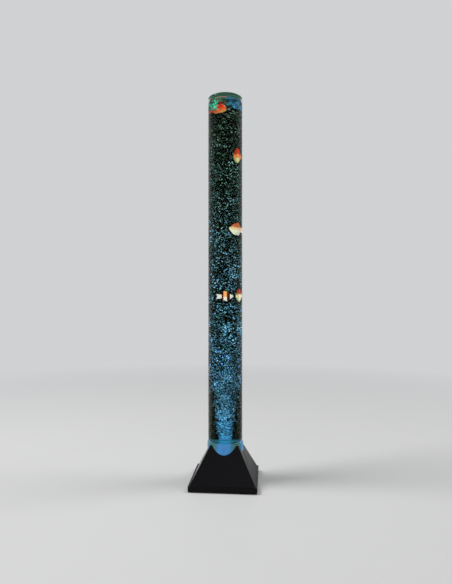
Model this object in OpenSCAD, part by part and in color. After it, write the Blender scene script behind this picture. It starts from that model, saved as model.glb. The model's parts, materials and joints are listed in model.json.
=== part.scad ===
// Bubble tube floor lamp: a tall clear water tube with drifting fish, held in
// the neck of a square pyramid base that hides the air pump and the lights.
// Millimetres. +Z is up, the front faces -Y, and the origin is on the floor
// under the axis of the tube.

/* [Overall] */
// Height of the lamp from the floor to the top of the lid
total_h = 1200; // [900:10:1400]

/* [Tube] */
// Outer diameter of the clear tube
tube_od = 107; // [102:1:112]
// Wall thickness of the tube
tube_wall = 3; // [2:0.5:4]
// Thickness of the clear floor glued into the tube
plug_t = 6; // [4:0.5:10]
// Height of that floor's underside above the foot cup's underside
plug_rise = 61; // [56:1:80]
// Glue gap around the floor
glue_gap = 0.05; // [0.02:0.01:0.2]

/* [Foot cup] */
// Wall thickness of the translucent cup around the foot of the tube
cup_wall = 2.6; // [2:0.1:4]
// Floor thickness of the cup
cup_floor_t = 3; // [2:0.5:5]
// Height of the cup
cup_h = 62; // [50:1:80]
// Radius of the hole in the cup's floor for the hose and the leads
cup_hole_r = 16; // [15:0.5:20]
// Gap between the tube and the cup
cup_fit = 0.1; // [0.05:0.05:0.3]

/* [Lid] */
// Thickness of the lid
lid_t = 3; // [2:0.5:6]
// Depth of the ring that centres the lid in the tube
lid_ring_h = 8; // [4:1:14]
// Wall of that ring
lid_ring_wall = 2.4; // [1.6:0.2:4]
// Gap between that ring and the tube
lid_fit = 0.4; // [0.3:0.1:1]
// Radius of one air hole in the lid
vent_r = 2.5; // [1.5:0.5:4]
// Number of air holes in the lid
vent_count = 6; // [3:1:10]
// Radius of the circle of air holes
vent_ring_r = 26; // [18:1:32]

/* [Base shell] */
// Width of the square base over its skirt
base_w = 205; // [200:1:230]
// Height of the upright skirt
skirt_h = 16; // [16:0.5:20]
// Width of the ledge between the skirt and the foot of the slopes
ledge_w = 4.4; // [2:0.1:6]
// Angle of the sloping faces from level
slope = 62.4; // [60:0.2:64]
// Depth cut off the sharp tips of the corner ridges
tip_cut = 5.5; // [2:0.5:8]
// Radius that rounds the cut tips into the ridges
tip_round = 6; // [2:0.5:8]
// Wall thickness of the shell
shell_wall = 3; // [2:0.5:4]
// Wall of the sleeve that hugs the foot cup
sleeve_wall = 3; // [2:0.5:4]
// Gap between the sleeve and the foot cup
sleeve_fit = 0.2; // [0.1:0.1:0.5]
// Height of the rubber feet under the shell
foot_h = 2.5; // [2:0.5:6]
// Radius of one rubber foot
foot_r = 10; // [6:1:14]
// Distance of the feet's centres from the edge of the base
foot_inset = 34; // [30:1:40]

/* [Bottom cover and tube plate] */
// Thickness of the bottom cover
cover_t = 3; // [3:0.5:5]
// Gap around the bottom cover
cover_fit = 0.3; // [0.2:0.1:0.6]
// Distance of the cover's screws from the edge of the base
cover_screw_inset = 16; // [14:1:18]
// Width of one air slot in the cover
slot_w = 3; // [2:0.5:4]
// Length of one air slot
slot_l = 34; // [20:1:40]
// Number of air slots
slot_count = 7; // [3:2:9]
// Height of the tube plate's underside above the lower edge of the shell
plate_rise = 57.5; // [56:0.5:66]
// Thickness of the tube plate
plate_t = 4; // [3:0.5:6]
// Height of the lip that centres the cup on the plate
plate_lip_h = 1.5; // [1:0.5:2]
// Distance of the plate's screws from the outside of the sleeve
plate_screw_out = 8; // [7:0.5:10]

/* [Screws] */
// Shaft radius of the case screws
screw_r = 1.4; // [1:0.1:2]
// Length of a case screw under its head
screw_l = 12; // [8:1:16]
// Head radius of the case screws
screw_head_r = 3; // [2.4:0.1:3.6]
// Head height of the case screws
screw_head_h = 1.6; // [1.2:0.1:2]
// Shaft radius of the small screws
small_screw_r = 1; // [0.8:0.1:1.2]
// Length of a small screw under its head
small_screw_l = 7; // [5:1:9]
// Head radius of the small screws
small_head_r = 2; // [1.6:0.1:2.4]
// Head height of the small screws
small_head_h = 1.2; // [1:0.1:1.3]

/* [Air line] */
// Inner radius of the air hose
hose_ir = 2.05; // [1.8:0.05:2.6]
// Wall of the air hose
hose_wall = 1; // [0.8:0.1:1.4]
// Length of a spigot that a hose is pushed on
spigot_l = 8; // [6:0.5:9]
// Straight length of the hose between the pump's spigot and the bend
hose_run = 2.3; // [1:0.1:4]
// Outer radius of the check valve
valve_r = 6.5; // [6:0.5:8]
// Length of the check valve's body
valve_l = 18; // [16:1:22]
// Radius of the air stone
stone_r = 15; // [10:1:20]
// Height of the air stone
stone_h = 7.5; // [6:0.5:14]

/* [Pump] */
// Length of the pump along the front of the base
pump_l = 84; // [84:1:96]
// Depth of the pump
pump_d = 46; // [46:1:48]
// Height of the pump over its tray
pump_h = 34; // [34:0.5:36]
// Wall of the pump's case and tray
pump_wall = 2; // [1.5:0.5:2]
// Height of the rubber pads under the pump
pad_h = 3; // [2:0.5:4]

/* [Lights and controls] */
// Outer radius of the light board
led_board_r = 44; // [40:1:46]
// Thickness of the circuit boards
board_t = 1.6; // [1:0.2:2]
// Height of the light board above the cup's floor
led_rise = 33; // [30:1:38]
// Number of lights on the outer ring
led_count = 12; // [6:2:18]
// Width of the control board
board_w = 64; // [60:1:80]
// Height of the control board
board_h = 30; // [26:1:30]
// Distance of the control board's back face from the outside of the base
board_inset = 24.9; // [24:0.1:27]
// Distance between the two push buttons
button_pitch = 20; // [16:1:22]
// Radius of a push button
button_r = 3.5; // [3:0.1:3.8]
// Travel of a push button
button_travel = 0.5; // [0.3:0.1:0.6]
// Distance of the power jack's axis from the end of the control board
jack_in = 5; // [4:0.5:9]
// Radius of the power jack's barrel
jack_r = 3.6; // [3.4:0.1:3.8]

/* [Hidden] */

$fn = 96;
eps = 0.01;
through = 1;

// Levels, from the floor up
z_shell = foot_h;
z_cover = z_shell + cover_t;
z_skirt = z_shell + skirt_h;
z_plate = z_shell + plate_rise;
z_cup = z_plate + plate_t;
z_tube = z_cup + cup_floor_t;
z_cup_top = z_cup + cup_h;
z_plug = z_cup + plug_rise;
z_water = z_plug + plug_t;
z_tube_top = total_h - lid_t;

// Radii and widths
tube_r = tube_od / 2;
tube_ir = tube_r - tube_wall;
cup_ir = tube_r + cup_fit;
cup_r = cup_ir + cup_wall;
bore_r = cup_r + sleeve_fit;
sleeve_r = bore_r + sleeve_wall;
half_w = base_w / 2;
half_foot = half_w - ledge_w;
slope_wall = shell_wall / sin(slope);
inner_w = half_w - shell_wall;

// Half width of the sloping faces at a height, outside and inside
function outer_half(z) = half_foot - (z - z_skirt) / tan(slope);
function inner_half(z) = outer_half(z) - slope_wall;

// Tips of the corner ridges, where they meet the bore
ridge_slope = atan(tan(slope) / sqrt(2));
z_tip = z_skirt + (half_foot - bore_r / sqrt(2)) * tan(slope) - tip_cut;
tip_r = bore_r + tip_cut / tan(ridge_slope);
tip_arc_r = tip_r - tip_round * tan(ridge_slope / 2);
// The rounding stops short of the ridge's own slope, so that the two cross cleanly
tip_bend = 0.85 * ridge_slope;
tip_steps = 6;

// Screw posts
cover_post_r = 4.5;
cover_post_xy = half_w - cover_screw_inset;
plate_post_r = 4;
plate_post_xy = (sleeve_r + plate_screw_out) / sqrt(2);
screw_slack = 0.3;
corners = [[1, 1], [-1, 1], [-1, -1], [1, -1]];

// Air line
hose_r = hose_ir + hose_wall;
hose_fit = 0.05;
spigot_r = hose_ir - hose_fit;
air_r = 1.2;
hose_stop = 0.3;
stem_r = 4;
seal_t = 1.5;
flange_r = 8;
flange_t = 2;
nut_t = 4;
z_seal = z_water;
z_flange = z_seal + seal_t;
z_stone = z_flange + flange_t;
stone_spigot_l = stone_h * 0.6;
stem_bottom = z_plug - nut_t - 2;
nozzle_bottom = stem_bottom - spigot_l - 3;

// Pump: its front wall stands just inside the slope of the shell
pump_gap = 2;
z_tray = z_cover + pad_h;
z_case = z_tray + pump_wall;
z_pump_top = z_tray + pump_h;
pump_y0 = -(inner_half(z_pump_top) - pump_gap);
pump_y1 = pump_y0 + pump_d;
pump_in_y0 = pump_y0 + pump_wall;
pump_in_y1 = pump_y1 - pump_wall;
out_rise = 11.5;
arm_rise = 16.5;
z_out = z_tray + out_rise;
z_arm = z_tray + arm_rise;
inlet_rise = 5;
port_r = 3.2;
port_d = 2.5;
port_flap_r = 2.8;
chamber_d = 3;
outlet_r = 5;
plunger_rod_r = 2.5;
outlet_t = 1.5;
box_d = 8;
box_w = 30;
box_h = 27;
box_y1 = pump_in_y1 - outlet_t;
box_y0 = box_y1 - box_d;
diaphragm_t = 1.5;
diaphragm_r = 11;
diaphragm_seat = 2;
diaphragm_y0 = box_y0 - diaphragm_t;
plunger_l = 4;
arm_t = 2.5;
arm_h = 10;
arm_y1 = diaphragm_y0 - plunger_l;
arm_y0 = arm_y1 - arm_t;
arm_pivot_in = 8;
arm_x0 = -(pump_l / 2 - arm_pivot_in);
arm_eye_r = 4;
pin_r = 1.5;
pin_fit = 0.05;
pin_seat_fit = 0.02;
pin_out = 4.5;
arm_rest_gap = 0.3;
magnet_w = 14;
magnet_t = 4;
magnet_in = 24;
magnet_x = pump_l / 2 - magnet_in;
magnet_gap = 2;
arm_end = 1;
arm_x1 = magnet_x + magnet_w / 2 + arm_end;
leg_w = 5;
core_w = 30;
core_h = 16;
core_back_t = 5;
core_y1 = arm_y0 - magnet_t - magnet_gap;
core_y0 = pump_in_y0 + 0.3;
coil_wall = 5.6;
bobbin_t = 1;
bobbin_gap = 0.2;
case_post_r = 3;
case_post_in = 4;
pad_r = 4;
pad_in_x = 14;
pad_in_y = 12;

// The air comes out of the pump on the level z_out and rises on the tube's axis
hose_bend = -(pump_y1 + spigot_l + hose_run);
hose_up_z = z_out + hose_bend;
z_valve = hose_up_z + 2 + spigot_l;
valve_split = 0.5;
valve_wall = 2.5;
flap_t = 0.8;

// Lights
z_led_board = z_tube + led_rise;
led_post_r = 3;
led_post_at = 38;
led_post_count = 3;
led_size = 5;
led_h = 1.6;
led_ring_r = 28;
led_inner_ring_r = 17;
board_hole_r = 10;

// Controls
z_controls = z_cover + 5.2;
board_y1 = half_w - board_inset;
board_y0 = board_y1 - board_t;
z_board = z_cover + 0.5;
switch_w = 6;
switch_d = 3.5;
plunger_r = 1.75;
plunger_out = 1.5;
plunger_in = 1.5;
button_fit = 0.1;
button_xs = [-button_pitch, 0];
button_flange_r = button_r + 1.1;
button_flange_t = 1.3;
stem_button_r = 2;
guide_t = 2;
guide_y = board_y1 + 10.4;
guide_fit = 0.08;
jack_x = board_w / 2 - jack_in;
jack_flange_r = jack_r + 1.3;
jack_flange_t = 1.2;
jack_l = 16;
jack_hole_r = 2.8;
jack_pin_r = 1;
jack_nut_t = 2;
jack_nut_r = jack_r + 1.1;
rail_w = 5;
rail_d = 6;
rail_grip = 1.2;
rail_fit = 0.1;
chip_size = [10, 1.6, 8];
driver_size = [10, 4.5, 12];
driver_x = 15;
socket_size = [8, 5, 6];
socket_in = 6;
can_r = 4;
can_l = 9;
can_in = 12;
can_pitch = 11;
pump_socket_x = -board_w / 2 + socket_in;
light_socket_x = board_w / 2 - socket_in;
z_socket = z_board + socket_in;

// The fish: length, height, thickness, then place, yaw and pitch
fish_lane_x = tube_ir * 0.58;
fish_sizes = [[46, 32, 13], [40, 48, 15], [42, 38, 13], [48, 30, 12], [40, 42, 13]];
fish_yaw = [10, 115, 215, 0, 115];
fish_pitch = [20, 8, 2, 0, 8];
fish_xy = [[-20, 6], [fish_lane_x - 0.7, 4], [fish_lane_x - 0.8, 1], [1.5, -22], [fish_lane_x + 3.1, 7]];
fish_below_top = [34, 178.5, 410, 620, 616];
// Where each body is tallest, how much it points at its ends, and how thick its tail root is
fish_forms = [[0.33, 0.6, 0.3], [0.38, 0.6, 0.5], [0.5, 1, 0.4], [0.5, 2.2, 0.5], [0.38, 0.7, 0.5]];
// How far the fins on the back, the belly and the tail stand out
fish_fins = [[0.3, 0.3, 0.5], [0.9, 1, 1], [1, 1, 1], [1, 0.5, 0.7], [1, 1, 1]];

module box_at(lo, hi) {
    translate(lo) cube(hi - lo);
}

module disc(r, z0, z1) {
    translate([0, 0, z0]) cylinder(r = r, h = z1 - z0);
}

module ring(r_out, r_in, z0, z1) {
    difference() {
        disc(r_out, z0, z1);
        disc(r_in, z0 - through, z1 + through);
    }
}

// A cylinder along Y, from y0 to y1
module rod_y(r, y0, y1) {
    translate([0, y1, 0]) rotate([90, 0, 0]) cylinder(r = r, h = y1 - y0);
}

// A pan-head screw with a cross slot; its head sits under z = 0 and its shaft points up
module screw(r, l, head_r, head_h) {
    slot = head_r * 0.32;
    difference() {
        union() {
            disc(r, -eps, l);
            disc(head_r, -head_h, 0);
        }
        for (turn = [0, 90])
            rotate([0, 0, turn])
                translate([-head_r * 0.6, -slot / 2, -head_h - through])
                    cube([head_r * 1.2, slot, through + head_h * 0.55]);
    }
}

module case_screw() {
    screw(screw_r, screw_l, screw_head_r, screw_head_h);
}

module small_screw() {
    screw(small_screw_r, small_screw_l, small_head_r, small_head_h);
}

module at_corners(xy, z) {
    for (c = corners)
        translate([c[0] * xy, c[1] * xy, z]) children();
}

// A square pyramid on a foot at z0, whose faces rise at the base's slope
module pyramid(half, z0) {
    rise = half * tan(slope);
    intersection_for(turn = [0, 90])
        rotate([0, 0, turn])
            rotate([90, 0, 0])
                linear_extrude(height = 2 * half + 2, center = true)
                    polygon([[-half, z0], [half, z0], [0, z0 + rise]]);
}

// A blunt cone that touches the corner ridges and rounds their tips
module tip_cap() {
    arc = [for (i = [0 : tip_steps])
        let (a = 90 - tip_bend * i / tip_steps)
        [tip_arc_r + tip_round * cos(a), z_tip - tip_round * (1 - sin(a))]];
    reach = base_w;
    rotate_extrude()
        polygon(concat([[0, z_skirt], [0, z_tip]], arc,
                       [arc[tip_steps] + reach * [1, -tan(tip_bend)], [0, -reach]]));
}

module base_envelope() {
    intersection() {
        pyramid(half_foot, z_skirt);
        tip_cap();
    }
    box_at([-half_w, -half_w, z_shell], [half_w, half_w, z_skirt]);
}

module base_hollow() {
    z_step = z_skirt - shell_wall;
    pyramid(inner_half(z_step), z_step - eps);
    box_at([-inner_w, -inner_w, z_shell - through], [inner_w, inner_w, z_step]);
}

module base_shell() {
    z_sleeve = z_cup + plate_lip_h + 0.5;
    color("#141517")
        difference() {
            union() {
                difference() {
                    base_envelope();
                    base_hollow();
                }
                intersection() {
                    base_envelope();
                    union() {
                        disc(sleeve_r, z_sleeve, total_h);
                        at_corners(cover_post_xy, z_cover)
                            cylinder(r = cover_post_r, h = total_h);
                        at_corners(plate_post_xy, z_cup)
                            cylinder(r = plate_post_r, h = total_h);
                    }
                }
            }
            disc(bore_r, z_sleeve - through, total_h);
            at_corners(cover_post_xy, z_cover - through)
                cylinder(r = screw_r, h = screw_l + through);
            at_corners(plate_post_xy, z_cup - through)
                cylinder(r = screw_r, h = screw_l + through);
            for (x = button_xs)
                translate([x, 0, z_controls])
                    rod_y(button_r + button_fit, inner_w - through, half_w + through);
            translate([jack_x, 0, z_controls]) {
                rod_y(jack_r + button_fit, inner_w - through, half_w + through);
                rod_y(jack_flange_r + button_fit, half_w - jack_flange_t, half_w + through);
            }
        }
}

// Upright rail that holds one edge of the control board
module board_rail() {
    slot = board_t + 2 * rail_fit;
    difference() {
        translate([-rail_grip, -rail_d / 2, 0])
            cube([rail_w, rail_d, board_h]);
        translate([-rail_grip - through, -slot / 2, 0])
            cube([rail_grip + rail_fit + through, slot, board_h + through]);
    }
}

module bottom_cover() {
    edge = inner_w - cover_fit;
    head_pocket = screw_head_h + 0.2;
    guide_x0 = button_xs[0] - button_r - 4;
    guide_x1 = button_xs[1] + button_r + 4;
    guide_z1 = z_controls + button_flange_r - 0.4;
    slot_pitch = 2.4 * slot_w;
    color("#1b1c1f") {
        difference() {
            union() {
                box_at([-edge, -edge, z_shell], [edge, edge, z_cover]);
                for (side = [0, 1])
                    mirror([side, 0, 0])
                        translate([board_w / 2, (board_y0 + board_y1) / 2, z_cover - eps])
                            board_rail();
                box_at([guide_x0, guide_y, z_cover - eps],
                       [guide_x1, guide_y + guide_t, guide_z1]);
            }
            at_corners(cover_post_xy, z_shell - through)
                cylinder(r = screw_r + screw_slack, h = cover_t + 2 * through);
            at_corners(cover_post_xy, z_shell - through)
                cylinder(r = screw_head_r + screw_slack, h = head_pocket + through);
            for (i = [0 : slot_count - 1])
                translate([(i - (slot_count - 1) / 2) * slot_pitch, 0, z_shell - through])
                    translate([-slot_w / 2, 4, 0])
                        cube([slot_w, slot_l, cover_t + 2 * through]);
            for (x = button_xs)
                translate([x, 0, z_controls])
                    rod_y(stem_button_r + guide_fit, guide_y - through, guide_y + guide_t + through);
        }
    }
}

module cover_screws() {
    color("#8d9094")
        at_corners(cover_post_xy, z_shell + screw_head_h + 0.2)
            case_screw();
}

module rubber_feet() {
    color("#26272a")
        at_corners(half_w - foot_inset, 0)
            rotate_extrude()
                polygon([[0, 0], [foot_r - 1, 0], [foot_r, 1], [foot_r, foot_h], [0, foot_h]]);
}

module tube_plate() {
    ear_r = screw_head_r + 4;
    color("#202226")
        difference() {
            union() {
                disc(sleeve_r, z_plate, z_cup);
                ring(sleeve_r, bore_r, z_cup - eps, z_cup + plate_lip_h);
                difference() {
                    for (turn = [45, 135])
                        rotate([0, 0, turn])
                            translate([-sleeve_r - plate_screw_out, -ear_r, z_plate])
                                cube([2 * (sleeve_r + plate_screw_out), 2 * ear_r, plate_t]);
                    disc(sleeve_r - 2, z_plate - through, z_cup + through);
                }
                at_corners(plate_post_xy, z_plate) cylinder(r = ear_r, h = plate_t);
            }
            disc(cup_hole_r + 2, z_plate - through, z_cup + through);
            at_corners(plate_post_xy, z_plate - through)
                cylinder(r = screw_r + screw_slack, h = plate_t + 2 * through);
        }
}

module plate_screws() {
    color("#8d9094")
        at_corners(plate_post_xy, z_plate)
            case_screw();
}

// Posts under the light board, or the holes in them
module at_led_posts(z) {
    for (i = [0 : led_post_count - 1])
        rotate([0, 0, 30 + i * 360 / led_post_count])
            translate([led_post_at, 0, z]) children();
}

module foot_cup() {
    color("#bfe3ea", 0.55)
        difference() {
            union() {
                ring(cup_r, cup_ir, z_cup, z_cup_top);
                disc(cup_r - cup_wall / 2, z_cup, z_tube);
                at_led_posts(z_tube - eps) cylinder(r = led_post_r, h = led_rise + eps);
            }
            disc(cup_hole_r, z_cup - through, z_tube + through);
            at_led_posts(z_led_board - small_screw_l)
                cylinder(r = small_screw_r, h = small_screw_l + through);
        }
}

module tube() {
    color("#dff3ee", 0.3) ring(tube_r, tube_ir, z_tube, z_tube_top);
}

module tube_floor() {
    color("#cfeaf2", 0.5) ring(tube_ir - glue_gap, stem_r + glue_gap, z_plug, z_water);
}

module top_lid() {
    ring_r = tube_ir - lid_fit;
    color("#9fc9b8", 0.6)
        difference() {
            union() {
                disc(tube_r, z_tube_top, total_h);
                ring(ring_r, ring_r - lid_ring_wall, z_tube_top - lid_ring_h, z_tube_top + eps);
            }
            for (i = [0 : vent_count - 1])
                rotate([0, 0, i * 360 / vent_count])
                    translate([vent_ring_r, 0, z_tube_top - through])
                        cylinder(r = vent_r, h = lid_t + 2 * through);
        }
}

module air_stone() {
    rim = 1.5;
    color("#7c93a8")
        difference() {
            rotate_extrude()
                polygon([[0, z_stone], [stone_r, z_stone], [stone_r, z_stone + stone_h - rim],
                         [stone_r - rim, z_stone + stone_h], [0, z_stone + stone_h]]);
            disc(spigot_r + hose_fit, z_stone - through, z_stone + stone_spigot_l + 0.3);
        }
}

module air_nozzle() {
    color("#e8ecee")
        difference() {
            union() {
                disc(spigot_r, nozzle_bottom, stem_bottom + eps);
                disc(stem_r, stem_bottom, z_flange + eps);
                disc(flange_r, z_flange, z_stone);
                disc(spigot_r, z_stone - eps, z_stone + stone_spigot_l);
            }
            disc(air_r, nozzle_bottom - through, z_stone + stone_h);
        }
}

module nozzle_seal() {
    color("#303236") ring(flange_r, stem_r + hose_fit, z_seal, z_flange);
}

module nozzle_nut() {
    color("#d7dbde")
        difference() {
            translate([0, 0, z_plug - nut_t]) cylinder(r = flange_r, h = nut_t, $fn = 6);
            disc(stem_r + hose_fit, z_plug - nut_t - through, z_plug + through);
        }
}

module upper_hose() {
    z0 = z_valve + valve_l + hose_stop;
    color("#e3eef2", 0.7) ring(hose_r, hose_ir, z0, stem_bottom - hose_stop);
}

// The hose leaves the pump level, turns up in a quarter circle and ends under the valve
module lower_hose() {
    color("#e3eef2", 0.7) {
        difference() {
            union() {
                translate([0, 0, z_out]) rod_y(hose_r, pump_y1 + hose_stop, -hose_bend);
                translate([0, -hose_bend, hose_up_z])
                    rotate([0, 90, 0])
                        rotate_extrude(angle = 90)
                            translate([hose_bend, 0]) circle(r = hose_r);
                disc(hose_r, hose_up_z, z_valve - hose_stop);
            }
            translate([0, 0, z_out]) rod_y(hose_ir, pump_y1 - through, -hose_bend);
            translate([0, -hose_bend, hose_up_z])
                rotate([0, 90, 0])
                    rotate_extrude(angle = 90)
                        translate([hose_bend, 0]) circle(r = hose_ir);
            disc(hose_ir, hose_up_z, z_valve + through);
        }
    }
}

z_split = z_valve + valve_l * valve_split;
z_valve_top = z_valve + valve_l;

module check_valve_body() {
    color("#d9dde0")
        difference() {
            union() {
                disc(spigot_r, z_valve - spigot_l, z_valve + eps);
                disc(valve_r, z_valve, z_split);
            }
            disc(air_r, z_valve - spigot_l - through, z_split + through);
            disc(valve_r - valve_wall, z_valve + valve_wall, z_split + through);
        }
}

module check_valve_cap() {
    color("#4d7fb3")
        difference() {
            union() {
                disc(valve_r, z_split, z_valve_top);
                disc(spigot_r, z_valve_top - eps, z_valve_top + spigot_l);
            }
            disc(valve_r - valve_wall, z_split - through, z_valve_top - valve_wall);
            disc(air_r, z_split, z_valve_top + spigot_l + through);
        }
}

module check_valve_flap() {
    color("#2c2d30")
        disc(valve_r - valve_wall - 0.3, z_valve + valve_wall, z_valve + valve_wall + flap_t);
}

// Corner posts of the pump's case, and the screws in them
module at_case_posts(z) {
    x = pump_l / 2 - case_post_in;
    for (side = [-1, 1])
        for (y = [pump_y0 + case_post_in, pump_y1 - case_post_in])
            translate([side * x, y, z]) children();
}

module pump_case() {
    in_x = pump_l / 2 - pump_wall;
    z_in = z_pump_top - pump_wall;
    color("#2f3237")
        difference() {
            union() {
                difference() {
                    box_at([-pump_l / 2, pump_y0, z_case], [pump_l / 2, pump_y1, z_pump_top]);
                    box_at([-in_x, pump_in_y0, z_case - through], [in_x, pump_in_y1, z_in]);
                }
                at_case_posts(z_case) cylinder(r = case_post_r, h = pump_h - pump_wall - eps);
                translate([arm_x0, (arm_y0 + arm_y1) / 2, z_arm + arm_h / 2 + arm_rest_gap])
                    cylinder(r = case_post_r, h = z_in - z_arm - arm_h / 2 - arm_rest_gap + eps);
            }
            at_case_posts(z_case - through) cylinder(r = small_screw_r, h = small_screw_l + through);
            translate([arm_x0, (arm_y0 + arm_y1) / 2, z_arm])
                cylinder(r = pin_r + pin_seat_fit, h = arm_h / 2 + pin_out + 0.5);
            translate([0, 0, z_out]) rod_y(spigot_r + 0.2, pump_in_y1 - through, pump_y1 + through);
            translate([lead_pump_x, 0, z_pump_lead])
                rod_y(lead_r + 0.2, pump_in_y1 - through, pump_y1 + through);
        }
}

module pump_tray() {
    arm_y = (arm_y0 + arm_y1) / 2;
    arm_z0 = z_arm - arm_h / 2 - arm_rest_gap;
    core_z0 = z_arm - core_h / 2;
    color("#3a3d42")
        difference() {
            union() {
                box_at([-pump_l / 2, pump_y0, z_tray], [pump_l / 2, pump_y1, z_case]);
                translate([arm_x0, arm_y, z_case - eps])
                    cylinder(r = arm_eye_r, h = arm_z0 - z_case + eps);
                box_at([magnet_x - core_w / 2, core_y0, z_case - eps],
                       [magnet_x + core_w / 2, core_y0 + core_back_t, core_z0]);
            }
            at_case_posts(z_tray - through)
                cylinder(r = small_screw_r + 0.2, h = pump_wall + 2 * through);
            translate([arm_x0, arm_y, z_case]) cylinder(r = pin_r + pin_seat_fit, h = pump_h);
        }
}

module pump_screws() {
    color("#8d9094") at_case_posts(z_tray) small_screw();
}

module pump_pads() {
    color("#3b3c3f")
        for (side = [-1, 1])
            for (y = [pump_y0 + pad_in_y, pump_y1 - pad_in_y])
                translate([side * (pump_l / 2 - pad_in_x), y, z_cover])
                    cylinder(r = pad_r, h = pad_h);
}

// Stack of E-shaped plates; its legs point at the magnet
module pump_core() {
    z0 = z_arm - core_h / 2;
    z1 = z_arm + core_h / 2;
    x0 = magnet_x - core_w / 2;
    color("#6f7276") {
        box_at([x0, core_y0, z0], [x0 + core_w, core_y0 + core_back_t, z1]);
        for (x = [x0, magnet_x - leg_w / 2, x0 + core_w - leg_w])
            box_at([x, core_y0 + core_back_t - eps, z0], [x + leg_w, core_y1, z1]);
    }
}

// A rectangular frame around the core's middle leg, from y0 to y1
module leg_frame(gap, wall, y0, y1) {
    in_w = leg_w + 2 * gap;
    in_h = core_h + 2 * gap;
    translate([magnet_x, y1, z_arm])
        rotate([90, 0, 0])
            linear_extrude(height = y1 - y0)
                difference() {
                    square([in_w + 2 * wall, in_h + 2 * wall], center = true);
                    square([in_w, in_h], center = true);
                }
}

bobbin_y0 = core_y0 + core_back_t + bobbin_gap;
bobbin_y1 = core_y1 - 1;

module pump_bobbin() {
    color("#c9cdd0") {
        leg_frame(bobbin_gap, bobbin_t, bobbin_y0, bobbin_y1);
        leg_frame(bobbin_gap, coil_wall, bobbin_y0, bobbin_y0 + bobbin_t);
        leg_frame(bobbin_gap, coil_wall, bobbin_y1 - bobbin_t, bobbin_y1);
    }
}

module pump_coil() {
    color("#b5652c")
        leg_frame(bobbin_gap + bobbin_t, coil_wall - bobbin_t - 0.4,
                  bobbin_y0 + bobbin_t, bobbin_y1 - bobbin_t);
}

module pump_arm() {
    z0 = z_arm - arm_h / 2;
    arm_y = (arm_y0 + arm_y1) / 2;
    color("#e0e2e3")
        difference() {
            union() {
                box_at([arm_x0, arm_y0, z0], [arm_x1, arm_y1, z0 + arm_h]);
                translate([arm_x0, arm_y, z0]) cylinder(r = arm_eye_r, h = arm_h);
                translate([0, 0, z_arm]) rod_y(plunger_rod_r, arm_y1 - eps, diaphragm_y0);
            }
            translate([arm_x0, arm_y, z0 - through])
                cylinder(r = pin_r + pin_fit, h = arm_h + 2 * through);
        }
}

module pump_magnet() {
    color("#44464a")
        box_at([magnet_x - magnet_w / 2, arm_y0 - magnet_t, z_arm - arm_h / 2 - 1],
               [magnet_x + magnet_w / 2, arm_y0, z_arm + arm_h / 2 + 1]);
}

module pump_arm_pin() {
    color("#b9bcc0")
        translate([arm_x0, (arm_y0 + arm_y1) / 2, z_case])
            cylinder(r = pin_r, h = z_arm + arm_h / 2 + pin_out - z_case);
}

module pump_diaphragm() {
    color("#1f2022")
        translate([0, 0, z_arm]) rod_y(diaphragm_r, diaphragm_y0, box_y0);
}

module pump_valve_box() {
    color("#d2d5d7")
        difference() {
            box_at([-box_w / 2, box_y0, z_case], [box_w / 2, box_y1, z_case + box_h]);
            translate([0, 0, z_arm])
                rod_y(diaphragm_r - diaphragm_seat, box_y0 - through, box_y0 + chamber_d);
            translate([0, 0, z_out]) {
                rod_y(air_r, box_y0, box_y1 + through);
                rod_y(port_r, box_y1 - port_d, box_y1 + through);
            }
            translate([0, 0, z_arm + inlet_rise]) rod_y(air_r, box_y0, box_y1 + through);
        }
}

module pump_valve_flaps() {
    color("#1f2022") {
        translate([0, 0, z_out])
            rod_y(port_flap_r, box_y1 - port_d, box_y1 - port_d + flap_t);
        translate([0, 0, z_arm + inlet_rise])
            rod_y(port_flap_r, box_y0 + chamber_d - flap_t, box_y0 + chamber_d);
    }
}

module pump_outlet() {
    color("#d2d5d7")
        translate([0, 0, z_out])
            difference() {
                union() {
                    rod_y(outlet_r, box_y1, pump_in_y1);
                    rod_y(spigot_r, pump_in_y1 - eps, pump_y1 + spigot_l);
                }
                rod_y(air_r, box_y1 - through, pump_y1 + spigot_l + through);
            }
}

module light_board() {
    color("#e9ece9")
        difference() {
            ring(led_board_r, board_hole_r, z_led_board, z_led_board + board_t);
            at_led_posts(z_led_board - through)
                cylinder(r = small_screw_r + 0.2, h = board_t + 2 * through);
            translate([0, 0, z_led_board - through])
                translate([light_lead_x - lead_r - 0.3, -lead_r - 0.3, 0])
                    cube([2 * lead_r + 0.6, 2 * lead_r + 0.6, board_t + 2 * through]);
        }
}

module light_ring(radius, count) {
    for (i = [0 : count - 1])
        rotate([0, 0, (i + 0.5) * 360 / count])
            translate([radius - led_size / 2, -led_size / 2, z_led_board + board_t])
                cube([led_size, led_size, led_h]);
}

module lights() {
    color("#bfe0ff") {
        light_ring(led_ring_r, led_count);
        light_ring(led_inner_ring_r, led_count / 2);
    }
}

module light_board_screws() {
    color("#8d9094")
        at_led_posts(z_led_board + board_t)
            mirror([0, 0, 1]) small_screw();
}

module control_board() {
    color("#2c6b46")
        box_at([-board_w / 2, board_y0, z_board], [board_w / 2, board_y1, z_board + board_h]);
}

// A part on the board's front face, from its middle and its width, depth and height
module board_part(x, z, size) {
    box_at([x - size[0] / 2, board_y0 - size[1], z - size[2] / 2],
           [x + size[0] / 2, board_y0, z + size[2] / 2]);
}

// Chip, two capacitors, a driver and two plug sockets on the board's front face
module control_parts() {
    z_mid = z_board + board_h / 2;
    color("#2a2b2e") {
        board_part(0, z_mid, chip_size);
        for (i = [0, 1])
            translate([-board_w / 2 + can_in + i * can_pitch, 0, z_mid + can_r])
                rod_y(can_r, board_y0 - can_l, board_y0);
        board_part(driver_x, z_mid + 3, driver_size);
        for (x = [pump_socket_x, light_socket_x])
            board_part(x, z_socket, socket_size);
    }
}

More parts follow.
